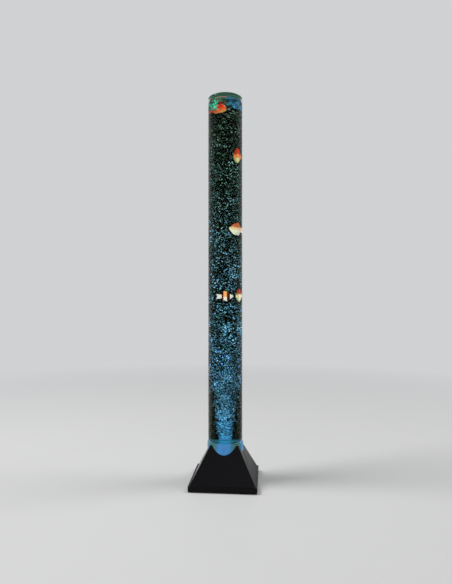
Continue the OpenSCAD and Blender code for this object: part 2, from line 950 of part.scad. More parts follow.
module tact_switches() {
    color("#17181a")
        for (x = button_xs)
            difference() {
                box_at([x - switch_w / 2, board_y1, z_controls - switch_w / 2 + 0.8],
                       [x + switch_w / 2, board_y1 + switch_d, z_controls + switch_w / 2]);
                translate([x, 0, z_controls])
                    rod_y(plunger_r + 0.05, board_y1 + switch_d - plunger_in - button_travel - 0.1,
                          board_y1 + switch_d + through);
            }
}

module plunger(x) {
    y = board_y1 + switch_d;
    color("#c8cacc") translate([x, 0, z_controls]) rod_y(plunger_r, y - plunger_in, y + plunger_out);
}

module push_button(x) {
    y_stem = board_y1 + switch_d + plunger_out;
    y_flange = inner_w - 0.3;
    dimple_r = 6;
    color("#3d4046")
        translate([x, 0, z_controls])
            difference() {
                union() {
                    rod_y(stem_button_r, y_stem, y_flange);
                    rod_y(button_flange_r, y_flange - button_flange_t, y_flange);
                    rod_y(button_r, y_flange - eps, half_w);
                }
                translate([0, half_w + dimple_r - 0.6, 0]) sphere(r = dimple_r);
            }
}

module light_plunger() {
    plunger(button_xs[0]);
}

module bubble_plunger() {
    plunger(button_xs[1]);
}

module light_button() {
    push_button(button_xs[0]);
}

module bubble_button() {
    push_button(button_xs[1]);
}

module power_jack() {
    hole_l = jack_l - 4;
    color("#0f1012")
        translate([jack_x, 0, z_controls]) {
            difference() {
                union() {
                    rod_y(jack_flange_r, half_w - jack_flange_t, half_w);
                    rod_y(jack_r, half_w - jack_l, half_w - eps);
                }
                rod_y(jack_hole_r, half_w - hole_l, half_w + through);
            }
            rod_y(jack_pin_r, half_w - hole_l - eps, half_w - 1.5);
        }
}

module jack_nut() {
    color("#8d9094")
        translate([jack_x, 0, z_controls])
            difference() {
                rod_y(jack_nut_r, inner_w - jack_nut_t, inner_w);
                rod_y(jack_r + 0.05, inner_w - jack_nut_t - through, inner_w + through);
            }
}

// Leads: a smooth curve through points chosen by hand, swept as an eight-sided tube
lead_r = 1.3;
lead_sides = 8;
lead_steps = 5;
lead_straight = [3, 7];
lead_pump_in = 16;
lead_pump_x = -(pump_l / 2 - lead_pump_in);
lead_pump_drop = 8;
z_pump_lead = z_pump_top - lead_pump_drop;
lead_sink = 1;
light_lead_x = 12;
jack_lead_r = 0.8;
jack_lead_pitch = 3.6;
y_sockets = board_y0 - socket_size[1];

// The point at a share of the way from a to b, with a share for each axis
function part_way(a, b, share) = [for (k = [0 : 2]) a[k] + (b[k] - a[k]) * share[k]];

function unit(v) = v / norm(v);

function curve_point(a, b, c, d, t) =
    0.5 * (2 * b + (c - a) * t + (2 * a - 5 * b + 4 * c - d) * t * t
           + (3 * b - a - 3 * c + d) * t * t * t);

function smooth_path(p) =
    let (n = len(p))
    concat(
        [for (i = [0 : n - 2], s = [0 : lead_steps - 1])
            curve_point(p[max(i - 1, 0)], p[i], p[i + 1], p[min(i + 2, n - 1)], s / lead_steps)],
        [p[n - 1]]);

function path_dirs(p) =
    let (n = len(p))
    [for (i = [0 : n - 1]) unit(p[min(i + 1, n - 1)] - p[max(i - 1, 0)])];

function carried_side(side, dir) = unit(side - (side * dir) * dir);

function path_sides(dirs, i, side) =
    i == len(dirs) ? [] :
    let (s = carried_side(side, dirs[i]))
    concat([s], path_sides(dirs, i + 1, s));

module swept_tube(points, r, first_side) {
    p = smooth_path(points);
    dirs = path_dirs(p);
    sides = path_sides(dirs, 0, first_side);
    n = lead_sides;
    last = len(p) - 1;
    rings = [for (i = [0 : last], k = [0 : n - 1])
        p[i] + r * (cos(k * 360 / n) * sides[i] + sin(k * 360 / n) * cross(dirs[i], sides[i]))];
    walls = [for (i = [0 : last - 1], k = [0 : n - 1])
        [i * n + k, (i + 1) * n + k, (i + 1) * n + (k + 1) % n, i * n + (k + 1) % n]];
    ends = [[for (k = [0 : n - 1]) k], [for (k = [n - 1 : -1 : 0]) last * n + k]];
    polyhedron(rings, concat(walls, ends));
}

module light_leads() {
    socket = [light_socket_x, y_sockets, z_socket];
    hole = [light_lead_x, 0, z_cup];
    color("#b9323a")
        swept_tube([socket,
                    socket - [0, lead_straight[0], 0],
                    socket - [0, lead_straight[1], 0],
                    part_way(socket, hole, [0.2, 0.37, 0.15]),
                    part_way(socket, hole, [0.57, 0.65, 0.46]),
                    part_way(socket, hole, [0.93, 0.92, 0.77]),
                    hole,
                    part_way(hole, [light_lead_x, 0, z_led_board], [1, 1, 0.6]),
                    [light_lead_x, 0, z_led_board + board_t]], lead_r, [1, 0, 0]);
}

module pump_leads() {
    outlet = [lead_pump_x, pump_y1, z_pump_lead];
    socket = [pump_socket_x, y_sockets, z_socket];
    color("#2b2c2f")
        swept_tube([outlet - [0, pump_wall + lead_sink, 0],
                    outlet + [0, lead_straight[0], 0],
                    outlet + [0, lead_straight[1], 0],
                    part_way(outlet, socket, [0, 0.38, 0.76]),
                    part_way(outlet, socket, [1, 0.81, 1]),
                    socket - [0, lead_straight[1], 0],
                    socket - [0, lead_straight[0], 0],
                    socket], lead_r, [1, 0, 0]);
}

// Two straight wires from the jack's tags to the board
module jack_leads() {
    color("#b9323a")
        for (side = [-1, 1])
            translate([jack_x + side * jack_lead_pitch / 2, 0, z_controls])
                rod_y(jack_lead_r, board_y1, half_w - jack_l);
}

// Half height and half thickness of a fish's body, as shares, from nose (0) to tail root (1)
function body_rise(t, form) = pow(sin(180 * pow(t, ln(0.5) / ln(form[0]))), form[1]) + form[2] * t;
function body_swell(t) = pow(sin(180 * pow(t, 0.58)), 0.8) + 0.12 * t;

fish_rings = 11;
fish_ring_sides = 12;
body_share = 0.76;

// The fish's body: oval rings that swell from the nose and draw in to the tail root
module fish_body(l, h, w, form) {
    n = fish_ring_sides;
    body_l = l * body_share;
    rings = [for (i = [1 : fish_rings], k = [0 : n - 1])
        let (t = 1 - cos(90 * i / fish_rings))
        [l / 2 - body_l * t,
         w / 2 * body_swell(t) * cos(k * 360 / n),
         h / 2 * body_rise(t, form) * sin(k * 360 / n)]];
    nose = len(rings);
    walls = [for (i = [0 : fish_rings - 2], k = [0 : n - 1])
        let (a = i * n + k, b = i * n + (k + 1) % n)
        each [[b, b + n, a + n], [b, a + n, a]]];
    snout = [for (k = [0 : n - 1]) [nose, (k + 1) % n, k]];
    root = [for (k = [0 : n - 1]) (fish_rings - 1) * n + k];
    polyhedron(concat(rings, [[l / 2, 0, 0]]), concat(walls, snout, [root]));
}

fin_t = 1.6;

// One upright fin, drawn as an outline in the fish's length and height
module fin(outline) {
    translate([0, fin_t / 2, 0])
        rotate([90, 0, 0])
            linear_extrude(height = fin_t) polygon(outline);
}

module fish(i) {
    l = fish_sizes[i][0];
    h = fish_sizes[i][1];
    w = fish_sizes[i][2];
    form = fish_forms[i];
    back = fish_fins[i][0];
    belly = fish_fins[i][1];
    tail_h = h * 0.38 * fish_fins[i][2];
    root_x = l / 2 - l * body_share;
    root_h = h * 0.36 * form[2];
    translate([fish_xy[i][0], fish_xy[i][1], total_h - fish_below_top[i]])
        rotate([0, 0, fish_yaw[i]])
            rotate([0, -fish_pitch[i], 0]) {
                fish_body(l, h * 0.78, w, form);
                fin([[root_x + 2, root_h], [-l / 2, tail_h], [-l * 0.44, 0],
                     [-l / 2, -tail_h], [root_x + 2, -root_h]]);
                fin([[l * 0.16, h * 0.3], [l * 0.02, h * (0.365 + 0.185 * back)],
                     [-l * 0.12, h * (0.3 + 0.2 * back)], [-l * 0.2, h * 0.12]]);
                fin([[l * 0.04, -h * 0.3], [-l * 0.06, -h * (0.335 + 0.165 * belly)],
                     [-l * 0.14, -h * (0.3 + 0.16 * belly)], [-l * 0.2, -h * 0.12]]);
            }
}

module coral_fish() {
    color("#d8502f") fish(0);
}

module sunset_fish() {
    color("#c9401f") fish(1);
}

module butter_fish() {
    color("#d9b36a") fish(2);
}

module striped_fish() {
    color("#e6ded2") fish(3);
}

module tall_fish() {
    color("#c94a2c") fish(4);
}

base_shell();
bottom_cover();
cover_screws();
rubber_feet();
tube_plate();
plate_screws();
foot_cup();
tube();
tube_floor();
top_lid();
air_stone();
air_nozzle();
nozzle_seal();
nozzle_nut();
upper_hose();
lower_hose();
check_valve_body();
check_valve_cap();
check_valve_flap();
pump_case();
pump_tray();
pump_screws();
pump_pads();
pump_core();
pump_bobbin();
pump_coil();
pump_arm();
pump_magnet();
pump_arm_pin();
pump_diaphragm();
pump_valve_box();
pump_valve_flaps();
pump_outlet();
light_board();
lights();
light_board_screws();
control_board();
control_parts();
tact_switches();
light_plunger();
bubble_plunger();
light_button();
bubble_button();
power_jack();
jack_nut();
light_leads();
pump_leads();
jack_leads();
coral_fish();
sunset_fish();
butter_fish();
striped_fish();
tall_fish();
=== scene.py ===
"""Bubble tube floor lamp: finishes, water, bubbles and fish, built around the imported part.

Metres. +Z is up, the front faces -Y, and the origin is on the floor under the tube's axis."""

import json
import math

import bmesh
import bpy
from mathutils import Matrix, Vector

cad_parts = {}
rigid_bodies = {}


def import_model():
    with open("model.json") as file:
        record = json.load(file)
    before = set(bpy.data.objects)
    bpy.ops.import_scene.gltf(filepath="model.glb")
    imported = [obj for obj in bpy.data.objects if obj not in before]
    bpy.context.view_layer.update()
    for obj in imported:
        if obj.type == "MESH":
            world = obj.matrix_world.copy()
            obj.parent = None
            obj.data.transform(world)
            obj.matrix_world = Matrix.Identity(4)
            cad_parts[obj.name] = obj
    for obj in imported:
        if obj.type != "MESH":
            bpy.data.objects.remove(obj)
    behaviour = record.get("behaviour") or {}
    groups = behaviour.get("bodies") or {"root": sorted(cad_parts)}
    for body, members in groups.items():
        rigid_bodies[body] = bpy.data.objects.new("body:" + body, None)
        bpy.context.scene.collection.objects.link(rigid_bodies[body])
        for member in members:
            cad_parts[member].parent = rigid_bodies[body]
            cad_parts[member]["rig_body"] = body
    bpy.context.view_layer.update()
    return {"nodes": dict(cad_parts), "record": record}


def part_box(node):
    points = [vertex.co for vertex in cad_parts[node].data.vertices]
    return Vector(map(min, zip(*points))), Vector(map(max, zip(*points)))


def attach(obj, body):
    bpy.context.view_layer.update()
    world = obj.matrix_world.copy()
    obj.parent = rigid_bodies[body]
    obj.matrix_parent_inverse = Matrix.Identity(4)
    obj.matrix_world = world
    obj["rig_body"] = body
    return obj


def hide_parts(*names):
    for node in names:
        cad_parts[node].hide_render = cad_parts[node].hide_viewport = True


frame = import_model()
nodes = frame["nodes"]
slot_of = {entry["node"]: entry["material_slot"] for entry in frame["record"]["subparts"]}
STAND = "stand"
MM = 0.001

# Camera, which stands level in front and a little to the right
CAMERA_DISTANCE = 1.5053
CAMERA_HEIGHT = 0.5557
CAMERA_TURN = math.radians(5.003)
CAMERA_LENS = 29.512
CAMERA_SHIFT = (0.00122, 0.02119)

# Sizes read from the frame
tube_low, tube_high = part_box("tube")
floor_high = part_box("tube_floor")[1]
cup_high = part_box("foot_cup")[1]
lid_low, lid_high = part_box("top_lid")
stone_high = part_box("air_stone")[1]
TUBE_R = lid_high.x
TUBE_IR = floor_high.x + 0.05 * MM
WATER_BITE = 0.1 * MM
WATER_R = TUBE_IR + WATER_BITE
WATER_BOTTOM = floor_high.z - WATER_BITE
WATER_TOP = lid_low.z - 4 * MM
CUP_TOP = cup_high.z
LID_TOP = lid_high.z

# The fish: length, height and thickness, place on the floor plan and depth under the lid's top in mm, yaw and
# pitch in degrees, and what sets the outline of body and fins
FISH = {
    "coral_fish": dict(size=(46, 32, 13), at=(-20, 6), depth=34, yaw=10, pitch=20,
                       crown=0.33, snout=0.6, stem=0.3, dorsal=0.3, keel=0.3, tail=0.5),
    "sunset_fish": dict(size=(40, 48, 15), at=(28.59, 4), depth=178.5, yaw=115, pitch=8,
                        crown=0.38, snout=0.6, stem=0.5, dorsal=0.9, keel=1.0, tail=1.0),
    "butter_fish": dict(size=(42, 38, 13), at=(28.49, 1), depth=410, yaw=215, pitch=2,
                        crown=0.5, snout=1.0, stem=0.4, dorsal=1.0, keel=1.0, tail=1.0),
    "striped_fish": dict(size=(48, 30, 12), at=(1.5, -22), depth=620, yaw=0, pitch=0,
                         crown=0.5, snout=2.2, stem=0.5, dorsal=1.0, keel=0.5, tail=0.7),
    "tall_fish": dict(size=(40, 42, 13), at=(32.39, 7), depth=616, yaw=115, pitch=8,
                      crown=0.38, snout=0.7, stem=0.5, dorsal=1.0, keel=1.0, tail=1.0),
}

# ---------------- node trees


class Graph:
    """Adds nodes to a tree: a socket given as an input is linked, anything else becomes its value."""

    def __init__(self, tree):
        self.tree = tree

    def add(self, kind, inputs=None, **settings):
        made = self.tree.nodes.new(kind)
        for name, value in settings.items():
            setattr(made, name, value)
        self.fill(made, inputs or {})
        return made

    def fill(self, node, inputs):
        for key, value in inputs.items():
            socket = node.inputs[key]
            if isinstance(value, bpy.types.NodeSocket):
                self.tree.links.new(value, socket)
            elif socket.type == "RGBA":
                socket.default_value = (*value, 1)
            else:
                socket.default_value = value

    def math(self, operation, a, b=0.0, clamp=False):
        return self.add("ShaderNodeMath", {0: a, 1: b}, operation=operation, use_clamp=clamp).outputs[0]

    def plus(self, a, b, clamp=False):
        return self.math("ADD", a, b, clamp)

    def minus(self, a, b):
        return self.math("SUBTRACT", a, b)

    def times(self, a, b):
        return self.math("MULTIPLY", a, b)

    def between(self, share, low, high):
        """The number at this share of the way from low to high."""
        return self.plus(low, self.times(share, self.minus(high, low)))

    def vector(self, operation, a, b=(0.0, 0.0, 0.0)):
        made = self.add("ShaderNodeVectorMath", {0: a, 1: b}, operation=operation)
        return made.outputs["Value" if operation == "LENGTH" else "Vector"]

    def stretched(self, place, by):
        return self.vector("MULTIPLY", place, by)

    def scaled(self, colour, level):
        inputs = {0: colour, "Scale": level}
        return self.add("ShaderNodeVectorMath", inputs, operation="SCALE").outputs["Vector"]

    def mix(self, factor, a, b, blend="MIX"):
        """Two colours mixed, by the sockets that a mix node has for colours."""
        inputs = {0: factor, 6: a, 7: b}
        return self.add("ShaderNodeMix", inputs, data_type="RGBA", blend_type=blend).outputs[2]

    def ramp(self, factor, stops):
        made = self.add("ShaderNodeValToRGB", {"Fac": factor})
        elements = made.color_ramp.elements
        while len(elements) < len(stops):
            elements.new(0.5)
        for element, (place, colour) in zip(elements, stops):
            element.position = place
            element.color = (*colour, 1)
        return made.outputs["Color"]

    def span(self, value, low, high, to_low=0.0, to_high=1.0):
        return self.add("ShaderNodeMapRange", {"Value": value, "From Min": low, "From Max": high,
                                               "To Min": to_low, "To Max": to_high}).outputs["Result"]

    def place(self, kind="Object"):
        return self.add("ShaderNodeTexCoord").outputs[kind]

    def axes(self, vector):
        return self.add("ShaderNodeSeparateXYZ", {0: vector}).outputs

    def off_axis(self, place):
        """How far a place is from the tube's axis."""
        return self.vector("LENGTH", self.stretched(place, (1, 1, 0)))

    def noise(self, place, scale, detail=2.0, roughness=0.5):
        return self.add("ShaderNodeTexNoise", {"Vector": place, "Scale": scale, "Detail": detail,
                                               "Roughness": roughness}).outputs["Fac"]

    def cells(self, place, scale):
        return self.add("ShaderNodeTexVoronoi", {"Vector": place, "Scale": scale}).outputs["Distance"]

    def group(self, tree, inputs=None):
        return self.add("ShaderNodeGroup", inputs, node_tree=tree).outputs

    def bump(self, height, distance, strength=1.0):
        inputs = {"Height": height, "Distance": distance, "Strength": strength}
        return self.add("ShaderNodeBump", inputs).outputs["Normal"]


COLOUR, NUMBER = "NodeSocketColor", "NodeSocketFloat"
GREY = (0.5, 0.5, 0.5, 1)
WHITE = (1, 1, 1)


def toned(colour, share):
    """A colour made darker or paler."""
    return tuple(min(1, share * part) for part in colour)


def shader_group(name, inputs, outputs):
    """A node group with inputs given as (name, kind, default), and with outputs as (name, kind)."""
    tree = bpy.data.node_groups.new(name, "ShaderNodeTree")
    for label, kind, default in inputs:
        tree.interface.new_socket(label, in_out="INPUT", socket_type=kind).default_value = default
    for label, kind in outputs:
        tree.interface.new_socket(label, in_out="OUTPUT", socket_type=kind)
    graph = Graph(tree)
    return graph, graph.add("NodeGroupInput").outputs, graph.add("NodeGroupOutput")


def make_moulded_skin():
    """Moulded plastic or rubber: a faint cloudy tone, handling marks and a fine spark-eroded grain."""
    graph, given, out = shader_group(
        "moulded_skin",
        [("Colour", COLOUR, GREY), ("Cloud", NUMBER, 0.2), ("Cloud Scale", NUMBER, 30.0),
         ("Roughness", NUMBER, 0.4), ("Roughness Swing", NUMBER, 0.1), ("Grain Scale", NUMBER, 900.0),
         ("Scuff", NUMBER, 0.05)],
        [("Colour", COLOUR), ("Roughness", NUMBER), ("Height", NUMBER)])
    place = graph.place()
    cloud = graph.noise(place, given["Cloud Scale"], detail=5.0, roughness=0.6)
    grain = graph.noise(place, given["Grain Scale"], detail=3.0)
    marks = graph.noise(graph.stretched(place, (60, 60, 9)), 4.0, detail=8.0, roughness=0.7)
    scuffs = graph.span(marks, 0.56, 0.72)
    clouded = graph.mix(graph.times(cloud, given["Cloud"]), given["Colour"], (0, 0, 0))
    worn = graph.mix(graph.times(scuffs, given["Scuff"]), clouded, (0.6, 0.6, 0.62))
    swing = graph.times(graph.minus(cloud, 0.5), given["Roughness Swing"])
    rough = graph.plus(graph.plus(given["Roughness"], swing), graph.times(scuffs, given["Roughness Swing"]),
                       clamp=True)
    graph.fill(out, {"Colour": worn, "Roughness": rough, "Height": grain})
    return graph.tree


def make_worked_metal():
    """Drawn or plated metal: fine lines along one way, with cloudy plating."""
    graph, given, out = shader_group(
        "worked_metal",
        [("Colour", COLOUR, GREY), ("Roughness", NUMBER, 0.35), ("Line Scale", NUMBER, 400.0)],
        [("Colour", COLOUR), ("Roughness", NUMBER), ("Height", NUMBER)])
    place = graph.place()
    lines = graph.noise(graph.stretched(place, (1, 1, 12)), given["Line Scale"], detail=4.0)
    cloud = graph.noise(place, 90.0, detail=4.0)
    dull = graph.mix(graph.times(cloud, 0.35), given["Colour"], (0.16, 0.16, 0.17))
    rough = graph.plus(given["Roughness"], graph.times(graph.minus(lines, 0.5), 0.3), clamp=True)
    graph.fill(out, {"Colour": dull, "Roughness": rough, "Height": lines})
    return graph.tree


# The lamp's light up the column: share of the water's height, and colour
LIGHT_STOPS = [
    (0.0, (0.078, 0.290, 0.880)),
    (0.03, (0.086, 0.270, 0.780)),
    (0.09, (0.104, 0.225, 0.530)),
    (0.16, (0.120, 0.265, 0.580)),
    (0.25, (0.130, 0.315, 0.640)),
    (0.35, (0.124, 0.290, 0.530)),
    (0.52, (0.110, 0.220, 0.350)),
    (0.67, (0.094, 0.182, 0.242)),
    (0.75, (0.094, 0.172, 0.193)),
    (0.91, (0.070, 0.112, 0.098)),
]
# The water takes up light in this tone and at this density, and for that each metre inwards adds to the glow
WATER_ABSORBED = (0.27, 0.40, 0.29)
WATER_DENSITY = 90.0
WATER_DIMMING = 50.0


def make_lamp_light():
    """The light that climbs the column from its foot, blue low down and teal at the top.

    Depth makes up for the dark water: a thing near the axis glows more than one at the wall."""
    graph, given, out = shader_group(
        "lamp_light", [("Strength", NUMBER, 1.0)], [("Colour", COLOUR), ("Depth", NUMBER)])
    place = graph.place()
    tint = graph.ramp(graph.span(graph.axes(place)["Z"], WATER_BOTTOM, WATER_TOP), LIGHT_STOPS)
    inset = graph.minus(WATER_R, graph.off_axis(place))
    depth = graph.math("EXPONENT", graph.times(inset, WATER_DIMMING))
    graph.fill(out, {"Colour": graph.scaled(tint, graph.times(depth, given["Strength"])), "Depth": depth})
    return graph.tree


MOULDED_SKIN = make_moulded_skin()
WORKED_METAL = make_worked_metal()
LAMP_LIGHT = make_lamp_light()

# ---------------- materials


def material(describe):
    """Makes a function that gives a shader's inputs into one that returns a new material of a given name."""
    def make(name, *values, **settings):
        made = bpy.data.materials.new(name)
        made.use_nodes = True
        graph = Graph(made.node_tree)
        graph.fill(made.node_tree.nodes["Principled BSDF"], describe(graph, *values, **settings))
        return made
    return make


def glow(colour):
    return {"Emission Color": colour, "Emission Strength": 1.0}


@material
def moulded(graph, colour, roughness, cloud=0.25, grain=900.0, relief=0.02 * MM, swing=0.12, shine=0.5,
            scuff=0.05):
    skin = graph.group(MOULDED_SKIN, {"Colour": colour, "Cloud": cloud, "Roughness": roughness,
                                      "Roughness Swing": swing, "Grain Scale": grain, "Scuff": scuff})
    return {"Base Color": skin["Colour"], "Roughness": skin["Roughness"], "Specular IOR Level": shine,
            "Normal": graph.bump(skin["Height"], relief)}


@material
def metal(graph, colour, roughness, lines=400.0):
    work = graph.group(WORKED_METAL, {"Colour": colour, "Roughness": roughness, "Line Scale": lines})
    return {"Base Color": work["Colour"], "Roughness": work["Roughness"], "Metallic": 1.0,
            "Normal": graph.bump(work["Height"], 0.02 * MM)}


@material
def clear(graph, index, smudge, mirror, absorbed=None):
    """Clear plastic or water: it lets light through, with faint smudges and a weak mirror."""
    smear = graph.noise(graph.stretched(graph.place(), (9, 9, 2)), 3.0, detail=6.0)
    if absorbed:
        depth = graph.add("ShaderNodeVolumeAbsorption", {"Color": absorbed, "Density": WATER_DENSITY})
        graph.fill(graph.tree.nodes["Material Output"], {"Volume": depth.outputs["Volume"]})
    return {"Base Color": graph.mix(graph.times(smear, 0.1), (0.97, 1.0, 0.99), (0.9, 0.95, 0.95)),
            "Roughness": graph.times(graph.span(smear, 0.5, 0.75), smudge), "Transmission Weight": 1.0,
            "IOR": index, "Specular Tint": (mirror, mirror, mirror)}


def around_axis(graph, place):
    """The angle about the tube's axis."""
    axes = graph.axes(place)
    return graph.math("ARCTAN2", axes["Y"], axes["X"])


# A bubble's thin wall has only a faint gloss
BUBBLE_WALL = {"Roughness": 0.25, "Specular IOR Level": 0.12}


def own_glint(graph):
    """How much this bubble glints."""
    return graph.add("ShaderNodeAttribute", attribute_name="glint").outputs["Fac"]


@material
def bubble_skin(graph, gain):
    """A bubble lit from below: its glint, painted glow patches and its lower half set how much it glows."""
    place = graph.place()
    each = graph.noise(place, 120.0, detail=1.0)
    # crowd: painted patches of brighter and dimmer glow, not more or fewer bubbles
    crowd = graph.noise(place, 26.0)
    level = graph.times(own_glint(graph), graph.span(crowd, 0.38, 0.64, 0.3 * gain, 1.7 * gain))
    facing = graph.axes(graph.add("ShaderNodeNewGeometry").outputs["Normal"])["Z"]
    lit = graph.span(facing, -1.0, 1.0, 1.35, 0.45)
    light = graph.group(LAMP_LIGHT, {"Strength": graph.times(level, lit)})
    cast = graph.mix(graph.span(each, 0.35, 0.65), (0.75, 1.0, 1.2), (1.25, 1.05, 0.8))
    return {"Base Color": graph.mix(each, (0.006, 0.012, 0.012), (0.014, 0.028, 0.028)), **BUBBLE_WALL,
            **glow(graph.mix(1.0, light["Colour"], cast, "MULTIPLY"))}


SURFACE_GREEN = (0.014, 0.110, 0.060)
FOAM_BLUE = (0.036, 0.175, 0.330)
FOAM_TEAL = (0.010, 0.440, 0.270)
TEAL_SIDE = math.radians(-138)


def surface_tint(graph, place, left):
    """Blue light at the water's surface, with another colour at its left."""
    turn = graph.minus(around_axis(graph, place), TEAL_SIDE)
    return graph.mix(graph.span(graph.math("COSINE", turn), 0.3, 0.85), FOAM_BLUE, left)


@material
def foam_skin(graph, least, gain):
    """Bubbles that crowd at the wall under the water's surface and catch the light there."""
    place = graph.place()
    patch = graph.noise(place, 34.0)
    level = graph.times(own_glint(graph), graph.span(patch, 0.42, 0.6, least, gain))
    return {"Base Color": graph.mix(patch, (0.01, 0.02, 0.02), (0.02, 0.05, 0.05)), **BUBBLE_WALL,
            **glow(graph.scaled(surface_tint(graph, place, FOAM_TEAL), level))}


@material
def water_surface(graph):
    """The rippled top of the water, which scatters the lamp's light back down in patches near the wall."""
    place = graph.place()
    patch = graph.noise(place, 30.0, detail=3.0)
    rim = graph.span(graph.off_axis(place), 0.3 * WATER_R, 0.8 * WATER_R, 0.35, 1.0)
    level = graph.times(rim, graph.span(patch, 0.42, 0.62, 0.25, 1.2))
    return {"Base Color": graph.mix(patch, (0.35, 0.5, 0.5), (0.5, 0.65, 0.65)),
            "Roughness": graph.span(patch, 0.3, 0.7, 0.55, 0.7),
            "Transmission Weight": 1.0, "IOR": WATER_INDEX,
            **glow(graph.scaled(surface_tint(graph, place, SURFACE_GREEN), level))}


# Colours of the glow painted on the cup and on the tube's floor
ARCH_BLUE = (0.026, 0.170, 0.450)
RIDGE_GREEN = (0.016, 0.080, 0.055)
RIM_GLOW = (0.060, 0.180, 0.190)
# How strongly each bends light. The tube's is low, so that its wall mirrors the pale studio less
TUBE_INDEX = 1.2
WATER_INDEX = 1.333
PLASTIC_INDEX = 1.46
FLOOR_INDEX = 1.49


def arch_glow(graph, place):
    """Painted glow colour: blue behind the four arches of the base, dim and green behind its corner ridges.
    """
    lobes = graph.math("COSINE", graph.times(around_axis(graph, place), 4.0))
    return graph.mix(graph.span(lobes, -0.75, 0.35), RIDGE_GREEN, ARCH_BLUE)


@material
def glowing_cup(graph):
    """Translucent cup lit from inside, with a brighter glow painted along its rim."""
    place = graph.place()
    haze = graph.noise(place, 60.0, detail=4.0)
    rim = graph.span(graph.axes(place)["Z"], CUP_TOP - 1.6 * MM, CUP_TOP - 0.6 * MM)
    # The band along the rim is painted glow
    tone = graph.mix(graph.times(rim, 0.6), arch_glow(graph, place), RIM_GLOW)
    return {"Base Color": graph.mix(haze, (0.02, 0.07, 0.08), (0.04, 0.10, 0.11)),
            "Roughness": graph.span(haze, 0.3, 0.7, 0.25, 0.4),
            "Transmission Weight": 0.2, "IOR": PLASTIC_INDEX,
            **glow(graph.scaled(tone, graph.span(haze, 0.3, 0.7, 0.72, 0.94)))}


@material
def lit_floor(graph):
    """Clear floor of the tube, lit from below through its whole face and most of all at the middle."""
    place = graph.place()
    haze = graph.noise(place, 45.0, detail=4.0)
    level = graph.times(graph.group(LAMP_LIGHT)["Depth"], graph.span(haze, 0.35, 0.65, 0.7, 1.0))
    away = graph.span(graph.off_axis(place), 0.2 * WATER_R, 0.7 * WATER_R)
    level = graph.times(level, graph.span(away, 0.0, 1.0, 2.0, 0.7))
    tone = graph.mix(away, ARCH_BLUE, arch_glow(graph, place))
    return {"Base Color": graph.mix(haze, (0.04, 0.12, 0.12), (0.08, 0.2, 0.2)), "Roughness": 0.2,
            "Transmission Weight": 0.15, "IOR": FLOOR_INDEX, **glow(graph.scaled(tone, level))}


@material
def lid_skin(graph):
    """Grey-green translucent lid, paler along its upper edge."""
    place = graph.place()
    haze = graph.noise(place, 40.0, detail=5.0)
    tone = graph.mix(haze, (0.056, 0.215, 0.125), (0.085, 0.300, 0.180))
    edge = graph.span(graph.axes(place)["Z"], LID_TOP - 1.6 * MM, LID_TOP - 0.8 * MM)
    return {"Base Color": graph.mix(graph.times(edge, 0.5), tone, (0.13, 0.21, 0.18)),
            "Roughness": graph.span(haze, 0.3, 0.7, 0.3, 0.42), "Transmission Weight": 0.35,
            "Specular IOR Level": 0.3, "IOR": PLASTIC_INDEX}


@material
def lit_lens(graph, colour, strength):
    """A small lamp's lens, whitest at the middle of its cells."""
    hot = graph.mix(graph.span(graph.cells(graph.place(), 420.0), 0.0, 0.5), WHITE, colour)
    return {"Base Color": hot, "Roughness": 0.2, "Emission Color": hot, "Emission Strength": strength}


@material
def porous(graph, colour):
    """Sintered stone, lit from below."""
    place = graph.place()
    cloud = graph.noise(place, 200.0, detail=5.0)
    return {"Base Color": graph.mix(cloud, toned(colour, 0.4), colour),
            "Roughness": graph.span(cloud, 0.3, 0.7, 0.75, 0.95),
            "Normal": graph.bump(graph.cells(place, 900.0), 0.2 * MM),
            **glow(graph.group(LAMP_LIGHT, {"Strength": 0.8})["Colour"])}


@material
def wound(graph, colour):
    """Enamelled wire laid side by side around a bobbin."""
    turns = graph.add("ShaderNodeTexWave", {"Vector": graph.place(), "Scale": 620.0, "Distortion": 0.4},
                      bands_direction="Y").outputs["Fac"]
    return {"Base Color": graph.mix(turns, toned(colour, 0.35), colour),
            "Roughness": graph.span(turns, 0.0, 1.0, 0.5, 0.25), "Metallic": 0.6,
            "Normal": graph.bump(turns, 0.15 * MM)}


@material
def board_face(graph, colour):
    """Solder mask with tracks just under it."""
    tracks = graph.add("ShaderNodeTexBrick", {
        "Vector": graph.place(), "Scale": 260.0, "Mortar Size": 0.03,
        "Color1": colour, "Color2": toned(colour, 0.8), "Mortar": toned(colour, 1.5)}).outputs
    return {"Base Color": tracks["Color"], "Roughness": graph.span(tracks["Fac"], 0.0, 1.0, 0.35, 0.28),
            "Normal": graph.bump(tracks["Fac"], 0.03 * MM)}


# What the greenish water takes from red and blue is given back to painted things
WATER_BALANCE = (1.13, 0.93, 1.16)


def lamp_lit(graph, tone, gain):
    """The lamp's light on a painted thing, stronger deep in the water as on the bubbles."""
    level = graph.times(graph.group(LAMP_LIGHT)["Depth"], gain)
    return glow(graph.scaled(graph.vector("MULTIPLY", tone, WATER_BALANCE), level))


STRIPE_BROWN = (0.05, 0.006, 0.002)
BODY_MIDDLE = 0.48


